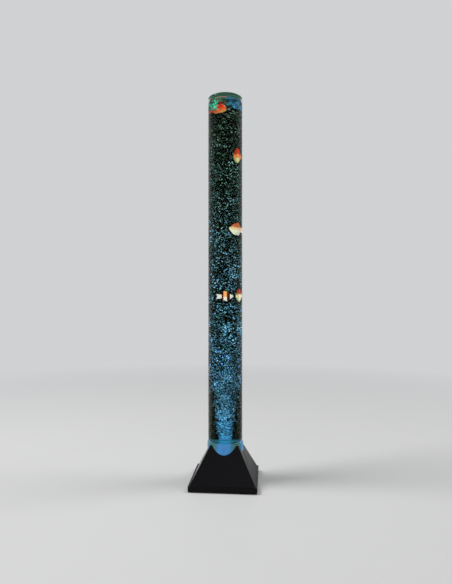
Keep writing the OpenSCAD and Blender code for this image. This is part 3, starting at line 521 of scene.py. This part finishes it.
@material
def fish_paint(graph, back, side, belly, low, gain, tail=1.0, crest=0.0, stripes=()):
    """Painted fish: back, side and belly run into each other, with stripes across, a shaded tail and scales.

    A crest lets the back's colour reach lower at the middle than at head and tail."""
    chart = graph.place("UV")
    axes = graph.axes(chart)
    along, up = axes["X"], axes["Y"]
    sway = graph.minus(graph.noise(chart, 7.0, detail=4.0), 0.5)
    off = graph.math("ABSOLUTE", graph.minus(along, BODY_MIDDLE))
    wavy = graph.plus(graph.plus(up, graph.times(sway, 0.22)), graph.span(off, 0.08, 0.3, crest, -crest))
    paint = graph.ramp(wavy, [(0.0, belly), (low, belly), (low + 0.12, side), (low + 0.24, side),
                              (low + 0.36, back), (1.0, back)])
    for place, width in stripes:
        bent = graph.plus(along, graph.times(sway, 0.05))
        off = graph.math("ABSOLUTE", graph.minus(bent, place))
        paint = graph.mix(graph.span(off, width * 0.4, width * 0.55, 1.0, 0.0), paint, STRIPE_BROWN)
    scales = graph.cells(graph.stretched(chart, (26, 14, 1)), 1.0)
    shaded = graph.scaled(paint, graph.span(along, 0.6, 0.9, 1.0, tail))
    edged = graph.mix(graph.span(scales, 0.35, 0.75, 0.0, 0.35), shaded, (0.02, 0.012, 0.01))
    # Besides its paint, the fish glows with painted lamp light
    return {"Base Color": edged, "Roughness": graph.span(scales, 0.0, 0.8, 0.22, 0.4),
            "Normal": graph.bump(scales, 0.25 * MM, 0.6), **lamp_lit(graph, edged, gain)}


@material
def fish_eye(graph, colour, roughness):
    # The eye glows with painted lamp light too
    tone = graph.mix(graph.noise(graph.place(), 500.0), colour, toned(colour, 0.85))
    return {"Base Color": tone, "Roughness": roughness, **lamp_lit(graph, tone, 0.8)}


# Each fish's paint: colours, how low down the belly ends, and how strongly the lamp lights it
FISH_PAINTS = {
    "coral": dict(back=(0.85, 0.022, 0.006), side=(0.85, 0.09, 0.025), belly=(0.93, 0.25, 0.09),
                  low=0.18, gain=3.3, tail=0.3),
    "sunset": dict(back=(0.62, 0.035, 0.012), side=(0.95, 0.26, 0.07), belly=(0.92, 0.74, 0.36),
                   low=0.26, gain=2.0),
    "butter": dict(back=(0.70, 0.13, 0.05), side=(0.95, 0.62, 0.34), belly=(0.88, 0.76, 0.64),
                   low=0.34, gain=2.0),
    "striped": dict(back=(0.80, 0.32, 0.10), side=(0.72, 0.62, 0.50), belly=(0.66, 0.62, 0.62),
                    low=0.34, gain=1.8, crest=0.2, stripes=((0.30, 0.19), (0.64, 0.11))),
    "tall": dict(back=(0.50, 0.05, 0.025), side=(1.0, 0.74, 0.50), belly=(0.92, 0.78, 0.60),
                 low=0.3, gain=2.0),
}


def make_finishes():
    """One finish for each of the record's slots."""
    return {
        "base_plastic": moulded("gloss_black_moulding", (0.004, 0.004, 0.005), 0.22, 0.15, 250.0, 0.001 * MM,
                                swing=0.03, shine=0.1, scuff=0.006),
        "inner_plastic": moulded("dark_moulding", (0.03, 0.031, 0.034), 0.5),
        "screw_steel": metal("zinc_screw", (0.55, 0.56, 0.58), 0.35),
        "rubber_feet": moulded("foot_rubber", (0.035, 0.035, 0.037), 0.75, 0.4, 1400.0, 0.05 * MM),
        "rubber_black": moulded("seal_rubber", (0.025, 0.025, 0.027), 0.7, 0.3, 1400.0, 0.04 * MM),
        "cup_plastic": glowing_cup("lit_cup_plastic"),
        "clear_tube": clear("clear_acrylic", TUBE_INDEX, smudge=0.03, mirror=0.3),
        "clear_floor": lit_floor("lit_floor_acrylic"),
        "lid_plastic": lid_skin("lid_plastic"),
        "air_stone": porous("air_stone", (0.30, 0.40, 0.48)),
        "pale_plastic": moulded("natural_moulding", (0.70, 0.72, 0.73), 0.45, 0.1),
        "blue_plastic": moulded("blue_moulding", (0.08, 0.20, 0.42), 0.4, 0.1),
        "hose_silicone": moulded("milky_silicone", (0.66, 0.74, 0.78), 0.35, 0.12, 1200.0, 0.02 * MM),
        "core_steel": metal("laminated_steel", (0.30, 0.31, 0.33), 0.45, 900.0),
        "copper_winding": wound("enamelled_copper", (0.60, 0.24, 0.09)),
        "arm_aluminium": metal("stamped_aluminium", (0.74, 0.75, 0.76), 0.3),
        "magnet_grey": moulded("sintered_magnet", (0.08, 0.08, 0.09), 0.55, 0.4, 1100.0, 0.05 * MM),
        "light_board_white": board_face("white_board", (0.80, 0.81, 0.78)),
        "led_lens": lit_lens("lit_lens", (0.35, 0.72, 1.0), 6.0),
        "board_green": board_face("green_board", (0.02, 0.15, 0.06)),
        "parts_black": moulded("part_moulding", (0.03, 0.03, 0.033), 0.45),
        "button_plastic": moulded("button_moulding", (0.05, 0.052, 0.058), 0.42, 0.2, 1300.0, 0.03 * MM),
        "jack_plastic": moulded("jack_moulding", (0.014, 0.014, 0.016), 0.35),
        "lead_red": moulded("red_insulation", (0.42, 0.03, 0.03), 0.4, 0.1),
        "lead_black": moulded("black_insulation", (0.03, 0.03, 0.03), 0.4, 0.1),
        **{"fish_" + kind: fish_paint(kind + "_paint", **paint) for kind, paint in FISH_PAINTS.items()},
    }


finishes = make_finishes()


def dress_cad_nodes():
    for name, obj in nodes.items():
        for place in obj.material_slots:
            place.material = finishes[slot_of[name]]


# ---------------- pieces


def placed(name, data):
    """A new object in the scene."""
    obj = bpy.data.objects.new(name, data)
    bpy.context.scene.collection.objects.link(obj)
    return obj


def new_piece(name, mesh, body, slot, replaced=()):
    obj = placed(name, mesh)
    if not mesh.materials:
        mesh.materials.append(finishes[slot])
    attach(obj, body)
    if replaced:
        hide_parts(*replaced)
    return obj


def mesh_from(name, build, outwards=True):
    """A mesh made by build(bm), with its faces turned outwards unless they already are."""
    bm = bmesh.new()
    build(bm)
    if outwards:
        bmesh.ops.recalc_face_normals(bm, faces=bm.faces)
    mesh = bpy.data.meshes.new(name)
    bm.to_mesh(mesh)
    bm.free()
    return mesh


def held(outline, inset=0.3 * MM):
    """The outline with a point just inside both ends of each long straight, which keeps smooth faces flat."""
    out = []
    for a, b in zip(outline, outline[1:] + outline[:1]):
        start, end = Vector(a), Vector(b)
        out.append(a)
        if (end - start).length > 8 * inset:
            along = (end - start).normalized() * inset
            out += [tuple(start + along), tuple(end - along)]
    return out


TURNED_SIDES = 160


def lathe(bm, outline):
    """Turns a closed outline of (radius, height) about the Z axis. A radius of 0 becomes a single pole."""
    turns = [k * math.tau / TURNED_SIDES for k in range(TURNED_SIDES)]
    rings = []
    for radius, height in held(outline):
        if radius == 0:
            rings.append([bm.verts.new((0, 0, height))] * TURNED_SIDES)
        else:
            rings.append([bm.verts.new((radius * math.cos(t), radius * math.sin(t), height)) for t in turns])
    for a, b in zip(rings, rings[1:] + rings[:1]):
        for k in range(TURNED_SIDES):
            n = (k + 1) % TURNED_SIDES
            corners = list(dict.fromkeys((a[k], a[n], b[n], b[k])))
            if len(corners) > 2:
                bm.faces.new(corners).smooth = True


def rounded(outline, radius, steps=3):
    """A closed outline with each corner turned into a short arc."""
    out = []
    for i, corner in enumerate(outline):
        here = Vector(corner)
        before = Vector(outline[i - 1]) - here
        after = Vector(outline[(i + 1) % len(outline)]) - here
        cut = min(radius, before.length * 0.45, after.length * 0.45)
        start, end = here + before.normalized() * cut, here + after.normalized() * cut
        for s in range(steps + 1):
            t = s / steps
            out.append(tuple(start * (1 - t) ** 2 + here * 2 * t * (1 - t) + end * t * t))
    return out


def make_tube():
    outline = [(TUBE_R, tube_low.z), (TUBE_R, tube_high.z), (TUBE_IR, tube_high.z), (TUBE_IR, tube_low.z)]
    mesh = mesh_from("clear_tube_wall", lambda bm: lathe(bm, rounded(outline, 0.5 * MM)))
    new_piece("clear_tube_wall", mesh, STAND, "clear_tube", ("tube",))


# The water's surface: how high it climbs the wall and over what width, its rings and its ripples
MENISCUS = 1.6 * MM
MENISCUS_WIDTH = 5 * MM
MENISCUS_STEPS = 6
SURFACE_RINGS = 16
RIPPLE = 0.5 * MM
RIPPLE_GAP = 1 * MM
RIPPLE_EASE = 8 * MM
WATER_EDGE = 0.3 * MM


def ripple(x, y):
    return RIPPLE * (math.sin(150 * x + 1.3) * math.cos(125 * y + 0.4) + 0.6 * math.sin(270 * x - 190 * y))


def make_water():
    """The column of water, with a rippled top that curls up where it meets the tube."""
    outline = [(0, WATER_BOTTOM), (WATER_R - WATER_EDGE, WATER_BOTTOM), (WATER_R, WATER_BOTTOM + WATER_EDGE),
               (WATER_R, WATER_TOP + MENISCUS)]
    for s in range(1, MENISCUS_STEPS + 1):
        t = s / MENISCUS_STEPS
        outline.append((WATER_R - MENISCUS_WIDTH * t, WATER_TOP + MENISCUS * (1 - t) ** 2))
    for s in range(1, SURFACE_RINGS + 1):
        outline.append(((WATER_R - MENISCUS_WIDTH) * (1 - s / SURFACE_RINGS), WATER_TOP))

    def build(bm):
        lathe(bm, outline)
        bmesh.ops.remove_doubles(bm, verts=bm.verts, dist=1e-7)
        for face in bm.faces:
            if face.calc_center_median().z > WATER_TOP - RIPPLE:
                face.material_index = 1
        for vert in bm.verts:
            room = WATER_R - RIPPLE_GAP - vert.co.xy.length
            if vert.co.z > WATER_TOP - RIPPLE and room > 0:
                vert.co.z += min(1.0, room / RIPPLE_EASE) * ripple(vert.co.x, vert.co.y)

    mesh = mesh_from("water_column", build)
    mesh.materials.append(clear("tank_water", WATER_INDEX, smudge=0.0, mirror=0.1, absorbed=WATER_ABSORBED))
    mesh.materials.append(water_surface("tank_water_top"))
    new_piece("water_column", mesh, STAND, "clear_tube")


# CAD facets that turn by less than one angle are joined, and edges sharper than the other are eased
FACET_TURN = math.radians(0.4)
SHARP_EDGE = math.radians(28)
CAD_WELD = 2e-6
LEVEL_FACE = 0.999


def softened(node, width):
    """A copy of a CAD node with its flat facets joined and its edges eased."""
    source = nodes[node]

    def build(bm):
        bm.from_mesh(source.data)
        bmesh.ops.remove_doubles(bm, verts=bm.verts, dist=CAD_WELD)
        bmesh.ops.dissolve_limit(bm, angle_limit=FACET_TURN, verts=bm.verts, edges=bm.edges)
        for face in bm.faces:
            face.smooth = abs(face.normal.z) < LEVEL_FACE

    mesh = mesh_from(node + "_eased", build, outwards=False)
    obj = new_piece(node + "_eased", mesh, source["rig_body"], slot_of[node], (node,))
    bevel = obj.modifiers.new("eased_edges", "BEVEL")
    bevel.width = width
    bevel.segments = 2
    bevel.limit_method = "ANGLE"
    bevel.angle_limit = SHARP_EDGE
    bevel.harden_normals = True


# ---------------- fish

BODY_SHARE = 0.76
BODY_RINGS = 26
BODY_SIDES = 28
BODY_TALL = 0.78
FIN_ROWS = 8
FIN_RAYS = 9
RAY_STEPS = 4
FIN_THICK = 1.5 * MM
SIDE_FIN_THICK = 0.8 * MM


def body_rise(t, crown, snout, stem):
    """Half height of the body at share t of its length, tallest at the crown and with a stem for the tail."""
    if t >= 1:
        return stem
    return math.sin(math.pi * t ** (math.log(0.5) / math.log(crown))) ** snout + stem * t


def body_swell(t):
    """Half thickness of the body at share t of its length."""
    return math.sin(math.pi * t ** 0.58) ** 0.8 + 0.12 * t if t < 1 else 0.12


def fish_body(bm, length, height, thick, crown, snout, stem):
    rings = []
    for i in range(1, BODY_RINGS + 1):
        t = 1 - math.cos(math.pi / 2 * i / BODY_RINGS)
        x = length / 2 - length * BODY_SHARE * t
        tall, wide = height / 2 * body_rise(t, crown, snout, stem), thick / 2 * body_swell(t)
        rings.append([bm.verts.new((x, wide * math.cos(k * math.tau / BODY_SIDES),
                                    tall * math.sin(k * math.tau / BODY_SIDES))) for k in range(BODY_SIDES)])
    nose = bm.verts.new((length / 2, 0, 0))
    for k in range(BODY_SIDES):
        n = (k + 1) % BODY_SIDES
        bm.faces.new((nose, rings[0][k], rings[0][n]))
        for a, b in zip(rings, rings[1:]):
            bm.faces.new((a[k], b[k], b[n], a[n]))
    bm.faces.new(rings[-1])


def along_curve(points, t):
    """A point at share t of a smooth line through a few points."""
    spans = len(points) - 1
    i = min(int(t * spans), spans - 1)
    s = t * spans - i
    a, b = Vector(points[max(i - 1, 0)]), Vector(points[i])
    c, d = Vector(points[i + 1]), Vector(points[min(i + 2, spans)])
    return 0.5 * (2 * b + (c - a) * s + (2 * a - 5 * b + 4 * c - d) * s * s
                  + (3 * b - a - 3 * c + d) * s ** 3)


def fish_fin(bm, root, tip, thick=FIN_THICK, turn=Matrix.Identity(4)):
    """A fin between its root line and its tip line, thin at the tip, with a ridge along each ray."""
    columns = FIN_RAYS * RAY_STEPS
    sides = []
    for side in (1, -1):
        grid = []
        for i in range(columns + 1):
            u = i / columns
            low, high = along_curve(root, u), along_curve(tip, u)
            ridge = 0.7 + 0.3 * math.cos(math.tau * FIN_RAYS * u)
            row = []
            for j in range(FIN_ROWS + 1):
                v = j / FIN_ROWS
                place = low.lerp(high, v)
                half = thick / 2 * (1 - 0.65 * v) * ridge
                row.append(bm.verts.new(turn @ Vector((place.x, side * half, place.y))))
            grid.append(row)
        sides.append(grid)
    left, right = sides
    for i in range(columns):
        for j in range(FIN_ROWS):
            bm.faces.new((left[i][j], left[i + 1][j], left[i + 1][j + 1], left[i][j + 1]))
            bm.faces.new((right[i][j], right[i][j + 1], right[i + 1][j + 1], right[i + 1][j]))
        bm.faces.new((left[i][0], right[i][0], right[i + 1][0], left[i + 1][0]))
        bm.faces.new((left[i][FIN_ROWS], left[i + 1][FIN_ROWS], right[i + 1][FIN_ROWS], right[i][FIN_ROWS]))
    for i in (0, columns):
        for j in range(FIN_ROWS):
            bm.faces.new((left[i][j], left[i][j + 1], right[i][j + 1], right[i][j]))


EYE_AT = 0.13
EYE_RISE = 0.09
EYE_SEAT = 0.93
EYE_PROUD = 0.1 * MM
# White ring and pupil: material, radius as a share of the fish's height, and how deep it sits
EYE_PARTS = ((1, 0.075, 0.55 * MM), (2, 0.045, 0.0))


def fish_eyes(bm, length, height, thick):
    """A white ring and a dark pupil on each side of the head."""
    x = length / 2 - length * BODY_SHARE * EYE_AT
    surface = thick / 2 * body_swell(EYE_AT) * EYE_SEAT
    for side in (1, -1):
        for index, radius, sink in EYE_PARTS:
            middle = Matrix.Translation((x, side * (surface - sink + EYE_PROUD), EYE_RISE * height))
            made = bmesh.ops.create_uvsphere(bm, u_segments=16, v_segments=10, radius=radius * height,
                                             matrix=middle)
            for vert in made["verts"]:
                for face in vert.link_faces:
                    face.material_index = index


def turned(degrees, axis):
    return Matrix.Rotation(math.radians(degrees), 4, axis)


def fish_place(spec):
    """Where a fish floats, and which way it points."""
    x, y = spec["at"]
    spot = Matrix.Translation((x * MM, y * MM, LID_TOP - spec["depth"] * MM))
    return spot @ (turned(spec["yaw"], "Z") @ turned(-spec["pitch"], "Y"))


def make_fish(name, spec, whites, pupil):
    length, height, thick = (v * MM for v in spec["size"])
    fan, comb, keel, stem = spec["tail"], spec["dorsal"], spec["keel"], 0.36 * height * spec["stem"]
    root_x = length / 2 - length * BODY_SHARE

    def at(*points):
        return [(x * length, z * height) for x, z in points]

    def build(bm):
        fish_body(bm, length, height * BODY_TALL, thick, spec["crown"], spec["snout"], spec["stem"])
        fish_fin(bm, [(root_x + 2 * MM, stem), (root_x + 1.5 * MM, 0), (root_x + 2 * MM, -stem)],
                 at((-0.5, fan * 0.38), (-0.465, fan * 0.17), (-0.44, 0), (-0.465, fan * -0.17),
                    (-0.5, fan * -0.38)))
        fish_fin(bm, at((0.17, 0.25), (0.0, 0.28), (-0.2, 0.10)),
                 at((0.15, 0.34), (0.02, 0.36 + 0.185 * comb), (-0.12, 0.3 + 0.2 * comb),
                    (-0.2, 0.14 + 0.06 * comb)))
        fish_fin(bm, at((0.05, -0.28), (-0.06, -0.26), (-0.2, -0.10)),
                 at((0.04, -0.34), (-0.06, -0.33 - 0.165 * keel), (-0.14, -0.3 - 0.155 * keel),
                    (-0.2, -0.18)))
        for side in (1, -1):
            shoulder = Matrix.Translation((length * 0.16, side * thick * 0.40, -height * 0.06))
            fish_fin(bm, at((0, 0.06), (0, -0.04)), at((-0.17, 0.10), (-0.2, -0.02), (-0.13, -0.13)),
                     SIDE_FIN_THICK, shoulder @ turned(side * -24, "Z") @ turned(side * 12, "X"))
            hip = Matrix.Translation((length * 0.12, side * thick * 0.16, -height * 0.3))
            fish_fin(bm, at((0.03, 0.03), (-0.05, 0.03)), at((-0.04, -0.15 * keel), (-0.15, -0.12 * keel)),
                     SIDE_FIN_THICK, hip @ turned(side * -38, "X"))
        fish_eyes(bm, length, height, thick)
        chart = bm.loops.layers.uv.new("fish_chart")
        for face in bm.faces:
            face.smooth = True
            for loop in face.loops:
                co = loop.vert.co
                loop[chart].uv = (0.5 - co.x / length, 0.5 + co.z / height)

    mesh = mesh_from(name + "_dressed", build)
    mesh.transform(fish_place(spec))
    for finish in (finishes[slot_of[name]], whites, pupil):
        mesh.materials.append(finish)
    new_piece(name + "_dressed", mesh, nodes[name]["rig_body"], slot_of[name], (name,))


# ---------------- bubbles

# A plume widens by the root of its climb at first and by a high power of it near the top of its spread
FLARE_EARLY = 0.4
FLARE_LATE = 0.6
FLARE_POWER = 5.0
# Bubbles beyond this chance stray outwards by this share
STRAY_FROM = 0.92
STRAY_BY = 0.35
GLINT_LEAST = 0.28
GLINT_MORE = 1.75
SIZE_POWER = 1.7
FLATTENED = 0.3
LEAN = 0.5


def make_bubble_tree():
    """Bubbles strewn through a stretch of the column, narrow over the air stone and wide higher up."""
    whole, real = "NodeSocketInt", "NodeSocketFloat"
    tree = bpy.data.node_groups.new("rising_bubbles", "GeometryNodeTree")
    for label, kind in (
            ("Geometry", "NodeSocketGeometry"), ("Count", whole), ("Seed", whole), ("Bottom", real),
            ("Top", real), ("Foot Radius", real), ("Full Radius", real), ("Foot Height", real),
            ("Full Height", real), ("Smallest", real), ("Largest", real), ("Outward", real),
            ("Turn From", real), ("Turn By", real), ("Fish", "NodeSocketObject"), ("Clearance", real),
            ("Finish", "NodeSocketMaterial")):
        tree.interface.new_socket(label, in_out="INPUT", socket_type=kind)
    tree.interface.new_socket("Geometry", in_out="OUTPUT", socket_type="NodeSocketGeometry")
    graph = Graph(tree)
    given = graph.add("NodeGroupInput").outputs

    def chance(step):
        seed = graph.plus(given["Seed"], float(step))
        return graph.add("FunctionNodeRandomValue", {"Seed": seed}, data_type="FLOAT").outputs[1]

    height = graph.between(chance(1), given["Bottom"], given["Top"])
    climb = graph.span(height, given["Foot Height"], given["Full Height"])
    flare = graph.plus(graph.times(graph.math("SQRT", climb), FLARE_EARLY),
                       graph.times(graph.math("POWER", climb, FLARE_POWER), FLARE_LATE))
    reach = graph.between(flare, given["Foot Radius"], given["Full Radius"])
    strays = graph.times(graph.math("GREATER_THAN", chance(8), STRAY_FROM), STRAY_BY)
    widened = graph.math("MINIMUM", graph.times(reach, graph.plus(strays, 1.0)), given["Full Radius"])
    away = graph.times(widened, graph.math("POWER", chance(2), given["Outward"]))
    turn = graph.plus(given["Turn From"], graph.times(chance(3), given["Turn By"]))
    spot = graph.add("ShaderNodeCombineXYZ", {"X": graph.times(away, graph.math("COSINE", turn)),
                                              "Y": graph.times(away, graph.math("SINE", turn)),
                                              "Z": height}).outputs[0]
    points = graph.add("GeometryNodePoints", {"Count": given["Count"], "Position": spot}).outputs[0]
    fish = graph.add("GeometryNodeObjectInfo", {"Object": given["Fish"]}).outputs["Geometry"]
    near = graph.add("GeometryNodeProximity", {0: fish}, target_element="FACES").outputs["Distance"]
    too_near = graph.add("FunctionNodeCompare", {0: near, 1: given["Clearance"]},
                         data_type="FLOAT", operation="LESS_THAN").outputs[0]
    kept = graph.add("GeometryNodeDeleteGeometry", {"Geometry": points, "Selection": too_near},
                     domain="POINT").outputs[0]
    glint = graph.plus(GLINT_LEAST, graph.times(graph.math("POWER", chance(7), 2.0), GLINT_MORE))
    marked = graph.add("GeometryNodeStoreNamedAttribute", {"Geometry": kept, "Name": "glint", "Value": glint},
                       data_type="FLOAT", domain="POINT").outputs[0]
    ball = graph.add("GeometryNodeMeshUVSphere", {"Radius": 1.0, "Segments": 8, "Rings": 6}).outputs["Mesh"]
    share = graph.math("POWER", chance(4), SIZE_POWER)
    size = graph.between(share, given["Smallest"], given["Largest"])
    flat = graph.times(size, graph.minus(1.0, graph.times(share, FLATTENED)))
    scale = graph.add("ShaderNodeCombineXYZ", {"X": size, "Y": size, "Z": flat}).outputs[0]
    lean = graph.add("ShaderNodeCombineXYZ", {"X": graph.times(chance(5), LEAN),
                                              "Y": graph.times(chance(6), LEAN)}).outputs[0]
    strewn = graph.add("GeometryNodeInstanceOnPoints", {"Points": marked, "Instance": ball, "Rotation": lean,
                                                        "Scale": scale}).outputs[0]
    solid = graph.add("GeometryNodeRealizeInstances", {0: strewn}).outputs[0]
    smooth = graph.add("GeometryNodeSetShadeSmooth", {"Geometry": solid}).outputs[0]
    done = graph.add("GeometryNodeSetMaterial", {"Geometry": smooth, "Material": given["Finish"]}).outputs[0]
    graph.add("NodeGroupOutput", {"Geometry": done})
    return tree


def baked_mesh(name, tree, values):
    """The plain mesh that a Geometry Nodes tree makes with these named inputs."""
    holder = placed(name + "_source", bpy.data.meshes.new(name + "_source"))
    modifier = holder.modifiers.new("build", "NODES")
    modifier.node_group = tree
    for item in tree.interface.items_tree:
        if item.item_type == "SOCKET" and item.in_out == "INPUT" and item.name in values:
            modifier[item.identifier] = values[item.name]
    bpy.context.view_layer.update()
    evaluated = holder.evaluated_get(bpy.context.evaluated_depsgraph_get())
    mesh = bpy.data.meshes.new_from_object(evaluated)
    mesh.name = name
    bpy.data.objects.remove(holder)
    return mesh


SIGHT_STEPS = 5
SIGHT_STEP = 12 * MM
# How the water's bending turns the line of sight outwards, for each metre off the axis
SIGHT_SPREAD = 7.0
SIGHT_RISE = 0.75
# A fish's outline as shares of its length and height
FISH_OUTLINE = [(0.5, 0), (0.2, 0.38), (-0.15, 0.45), (-0.5, 0.38), (-0.5, -0.38), (-0.15, -0.42),
                (0.2, -0.36)]


def fish_middles():
    """The fish as flat outlines, repeated towards the front, so that the bubbles leave them in view."""
    def build(bm):
        for spec in FISH.values():
            length, height, _ = (v * MM for v in spec["size"])
            place = fish_place(spec)
            middle = place.translation
            rise = SIGHT_RISE * (CAMERA_HEIGHT - middle.z) / CAMERA_DISTANCE
            sight = Vector((SIGHT_SPREAD * middle.x, -1, rise))
            for step in range(SIGHT_STEPS):
                nearer = Matrix.Translation(sight * SIGHT_STEP * step) @ place
                bm.faces.new([bm.verts.new(nearer @ Vector((x * length, 0, z * height)))
                              for x, z in FISH_OUTLINE])

    return placed("fish_middles", mesh_from("fish_middles", build, outwards=False))


# Each stretch of bubbles: bottom and top as shares of the column, how many, and how far they crowd outwards
BUBBLE_STRETCHES = {
    "bubbles_plume": (0.0, 0.11, 1300, 0.5),
    "bubbles_spread": (0.11, 0.20, 1150, 0.42),
    "bubbles_low": (0.20, 0.40, 1450, 0.36),
    "bubbles_middle": (0.40, 0.62, 1500, 0.34),
    "bubbles_high": (0.62, 0.82, 1100, 0.34),
    "bubbles_top": (0.82, 1.0, 900, 0.34),
    "bubbles_core": (0.11, 0.35, 450, 0.8),
}
# The foam below the water's surface: a ring at the wall, and lit patches at the front left and at the right.
# For each: bottom and top below the surface, how many, from which angle and over how much, in radians
FOAM = {
    "bubbles_foam": (11 * MM, 3 * MM, 420, 0.0, math.tau),
    "bubbles_patch": (33 * MM, 10 * MM, 170, TEAL_SIDE - 0.38, 0.76),
    "bubbles_glow": (27 * MM, 4 * MM, 200, math.radians(-82), math.radians(92)),
}
SMALLEST, LARGEST = 1.3 * MM, 2.3 * MM
STONE_GAP, SURFACE_GAP, WALL_GAP = 1 * MM, 4 * MM, 2.6 * MM
RISING_CLEARANCE, FOAM_CLEARANCE = 8.5 * MM, 2 * MM
SPREAD_HEIGHT = 0.19
FOAM_OUTWARD = 0.1
RISING_SEED, FOAM_SEED, SEED_STEP = 11, 151, 20


def make_bubbles():
    tree = make_bubble_tree()
    middles = fish_middles()
    low, high = stone_high.z + STONE_GAP, WATER_TOP - SURFACE_GAP
    rising = bubble_skin("lit_bubble", 1.3)
    ring, patch = foam_skin("foam_bubble", 0.14, 1.4), foam_skin("patch_bubble", 0.9, 1.8)

    def strew(name, seed, count, bottom, top, turn_from, turn_by, outward, clearance, finish):
        mesh = baked_mesh(name, tree, {
            "Count": count, "Seed": seed, "Bottom": bottom, "Top": top, "Outward": outward,
            "Turn From": turn_from, "Turn By": turn_by, "Clearance": clearance, "Finish": finish,
            "Foot Radius": stone_high.x, "Full Radius": TUBE_IR - WALL_GAP, "Foot Height": low,
            "Full Height": low + SPREAD_HEIGHT, "Smallest": SMALLEST, "Largest": LARGEST, "Fish": middles})
        new_piece(name, mesh, STAND, "clear_tube")

    for number, (name, (start, end, count, outward)) in enumerate(BUBBLE_STRETCHES.items()):
        strew(name, RISING_SEED + SEED_STEP * number, count, low + (high - low) * start,
              low + (high - low) * end, 0.0, math.tau, outward, RISING_CLEARANCE, rising)
    for number, (name, (below, above, count, start, by)) in enumerate(FOAM.items()):
        strew(name, FOAM_SEED + SEED_STEP * number, count, WATER_TOP - below, WATER_TOP - above,
              start, by, FOAM_OUTWARD, FOAM_CLEARANCE, patch if number else ring)
    bpy.data.objects.remove(middles)


# ---------------- stage

BACKGROUND = (0.63, 0.64, 0.65)
SKY = (0.30, 0.305, 0.31)
FLOOR_COLOUR = (0.66, 0.66, 0.655)
FLOOR_RADIUS = 9.0
# Each lamp's place, its width and its power: high up at both sides, where neither tube nor base mirrors it
LAMPS = {
    "key_lamp": ((-2.3, -0.5, 3.9), 1.5, 120),
    "fill_lamp": ((2.5, 0.5, 3.7), 1.6, 60),
}
LAMP_AIM = Vector((0, 0, 0.55))


def seen_rays(graph):
    """1 for the rays that look at the background: the camera's, and those through glass or off a gloss."""
    rays = graph.add("ShaderNodeLightPath").outputs
    direct = graph.math("MAXIMUM", rays["Is Camera Ray"], rays["Is Transmission Ray"])
    return graph.math("MAXIMUM", direct, rays["Is Glossy Ray"])


def show(graph, output, share, shader, plain_kind):
    """Gives an output its shader, which gives way to the plain background by this share."""
    plain = graph.add(plain_kind, {"Color": BACKGROUND, "Strength": 1.0}).outputs[0]
    mixed = graph.add("ShaderNodeMixShader", {0: share, 1: graph.tree.nodes[shader].outputs[0], 2: plain})
    graph.fill(graph.tree.nodes[output], {"Surface": mixed.outputs[0]})


@material
def floor_skin(graph):
    """Pale floor, which gives way to the plain background further out."""
    place = graph.place()
    share = graph.times(graph.span(graph.vector("LENGTH", place), 1.0, 3.0), seen_rays(graph))
    show(graph, "Material Output", share, "Principled BSDF", "ShaderNodeEmission")
    tone = graph.mix(graph.noise(place, 5.0, detail=6.0), FLOOR_COLOUR, toned(FLOOR_COLOUR, 0.97))
    return {"Base Color": tone, "Roughness": 0.6, "Specular IOR Level": 0.2}


def studio():
    """A pale floor that runs into a pale background, an even sky and two soft lamps."""
    scene = bpy.context.scene
    scene.view_settings.view_transform = "Standard"
    world = bpy.data.worlds.new("studio")
    scene.world = world
    world.use_nodes = True
    graph = Graph(world.node_tree)
    graph.fill(graph.tree.nodes["Background"], {"Color": SKY})
    show(graph, "World Output", seen_rays(graph), "Background", "ShaderNodeBackground")

    floor = placed("studio_floor", mesh_from("studio_floor", lambda bm: bmesh.ops.create_circle(
        bm, cap_ends=True, segments=96, radius=FLOOR_RADIUS), outwards=False))
    floor.data.materials.append(floor_skin("studio_floor"))

    for name, (spot, size, watts) in LAMPS.items():
        lamp = bpy.data.lights.new(name, "AREA")
        lamp.shape = "DISK"
        lamp.size = size
        lamp.energy = watts
        obj = placed(name, lamp)
        obj.location = spot
        obj.rotation_euler = (LAMP_AIM - Vector(spot)).to_track_quat("-Z", "Y").to_euler()


def camera():
    lens = bpy.data.cameras.new("camera")
    lens.sensor_width = 36
    lens.lens = CAMERA_LENS
    lens.shift_x, lens.shift_y = CAMERA_SHIFT
    obj = placed("camera", lens)
    obj.location = (CAMERA_DISTANCE * math.sin(CAMERA_TURN), -CAMERA_DISTANCE * math.cos(CAMERA_TURN),
                    CAMERA_HEIGHT)
    obj.rotation_euler = (math.radians(90), 0, CAMERA_TURN)
    bpy.context.scene.camera = obj


camera()
studio()
dress_cad_nodes()
for node, width in (("base_shell", 0.7 * MM), ("foot_cup", 0.35 * MM), ("top_lid", 0.3 * MM),
                    ("tube_floor", 0.3 * MM)):
    softened(node, width)
make_tube()
make_water()
whites = fish_eye("eye_white", (0.85, 0.84, 0.80), 0.2)
pupil = fish_eye("eye_pupil", (0.01, 0.01, 0.012), 0.1)
for fish_name, fish_spec in FISH.items():
    make_fish(fish_name, fish_spec, whites, pupil)
make_bubbles()
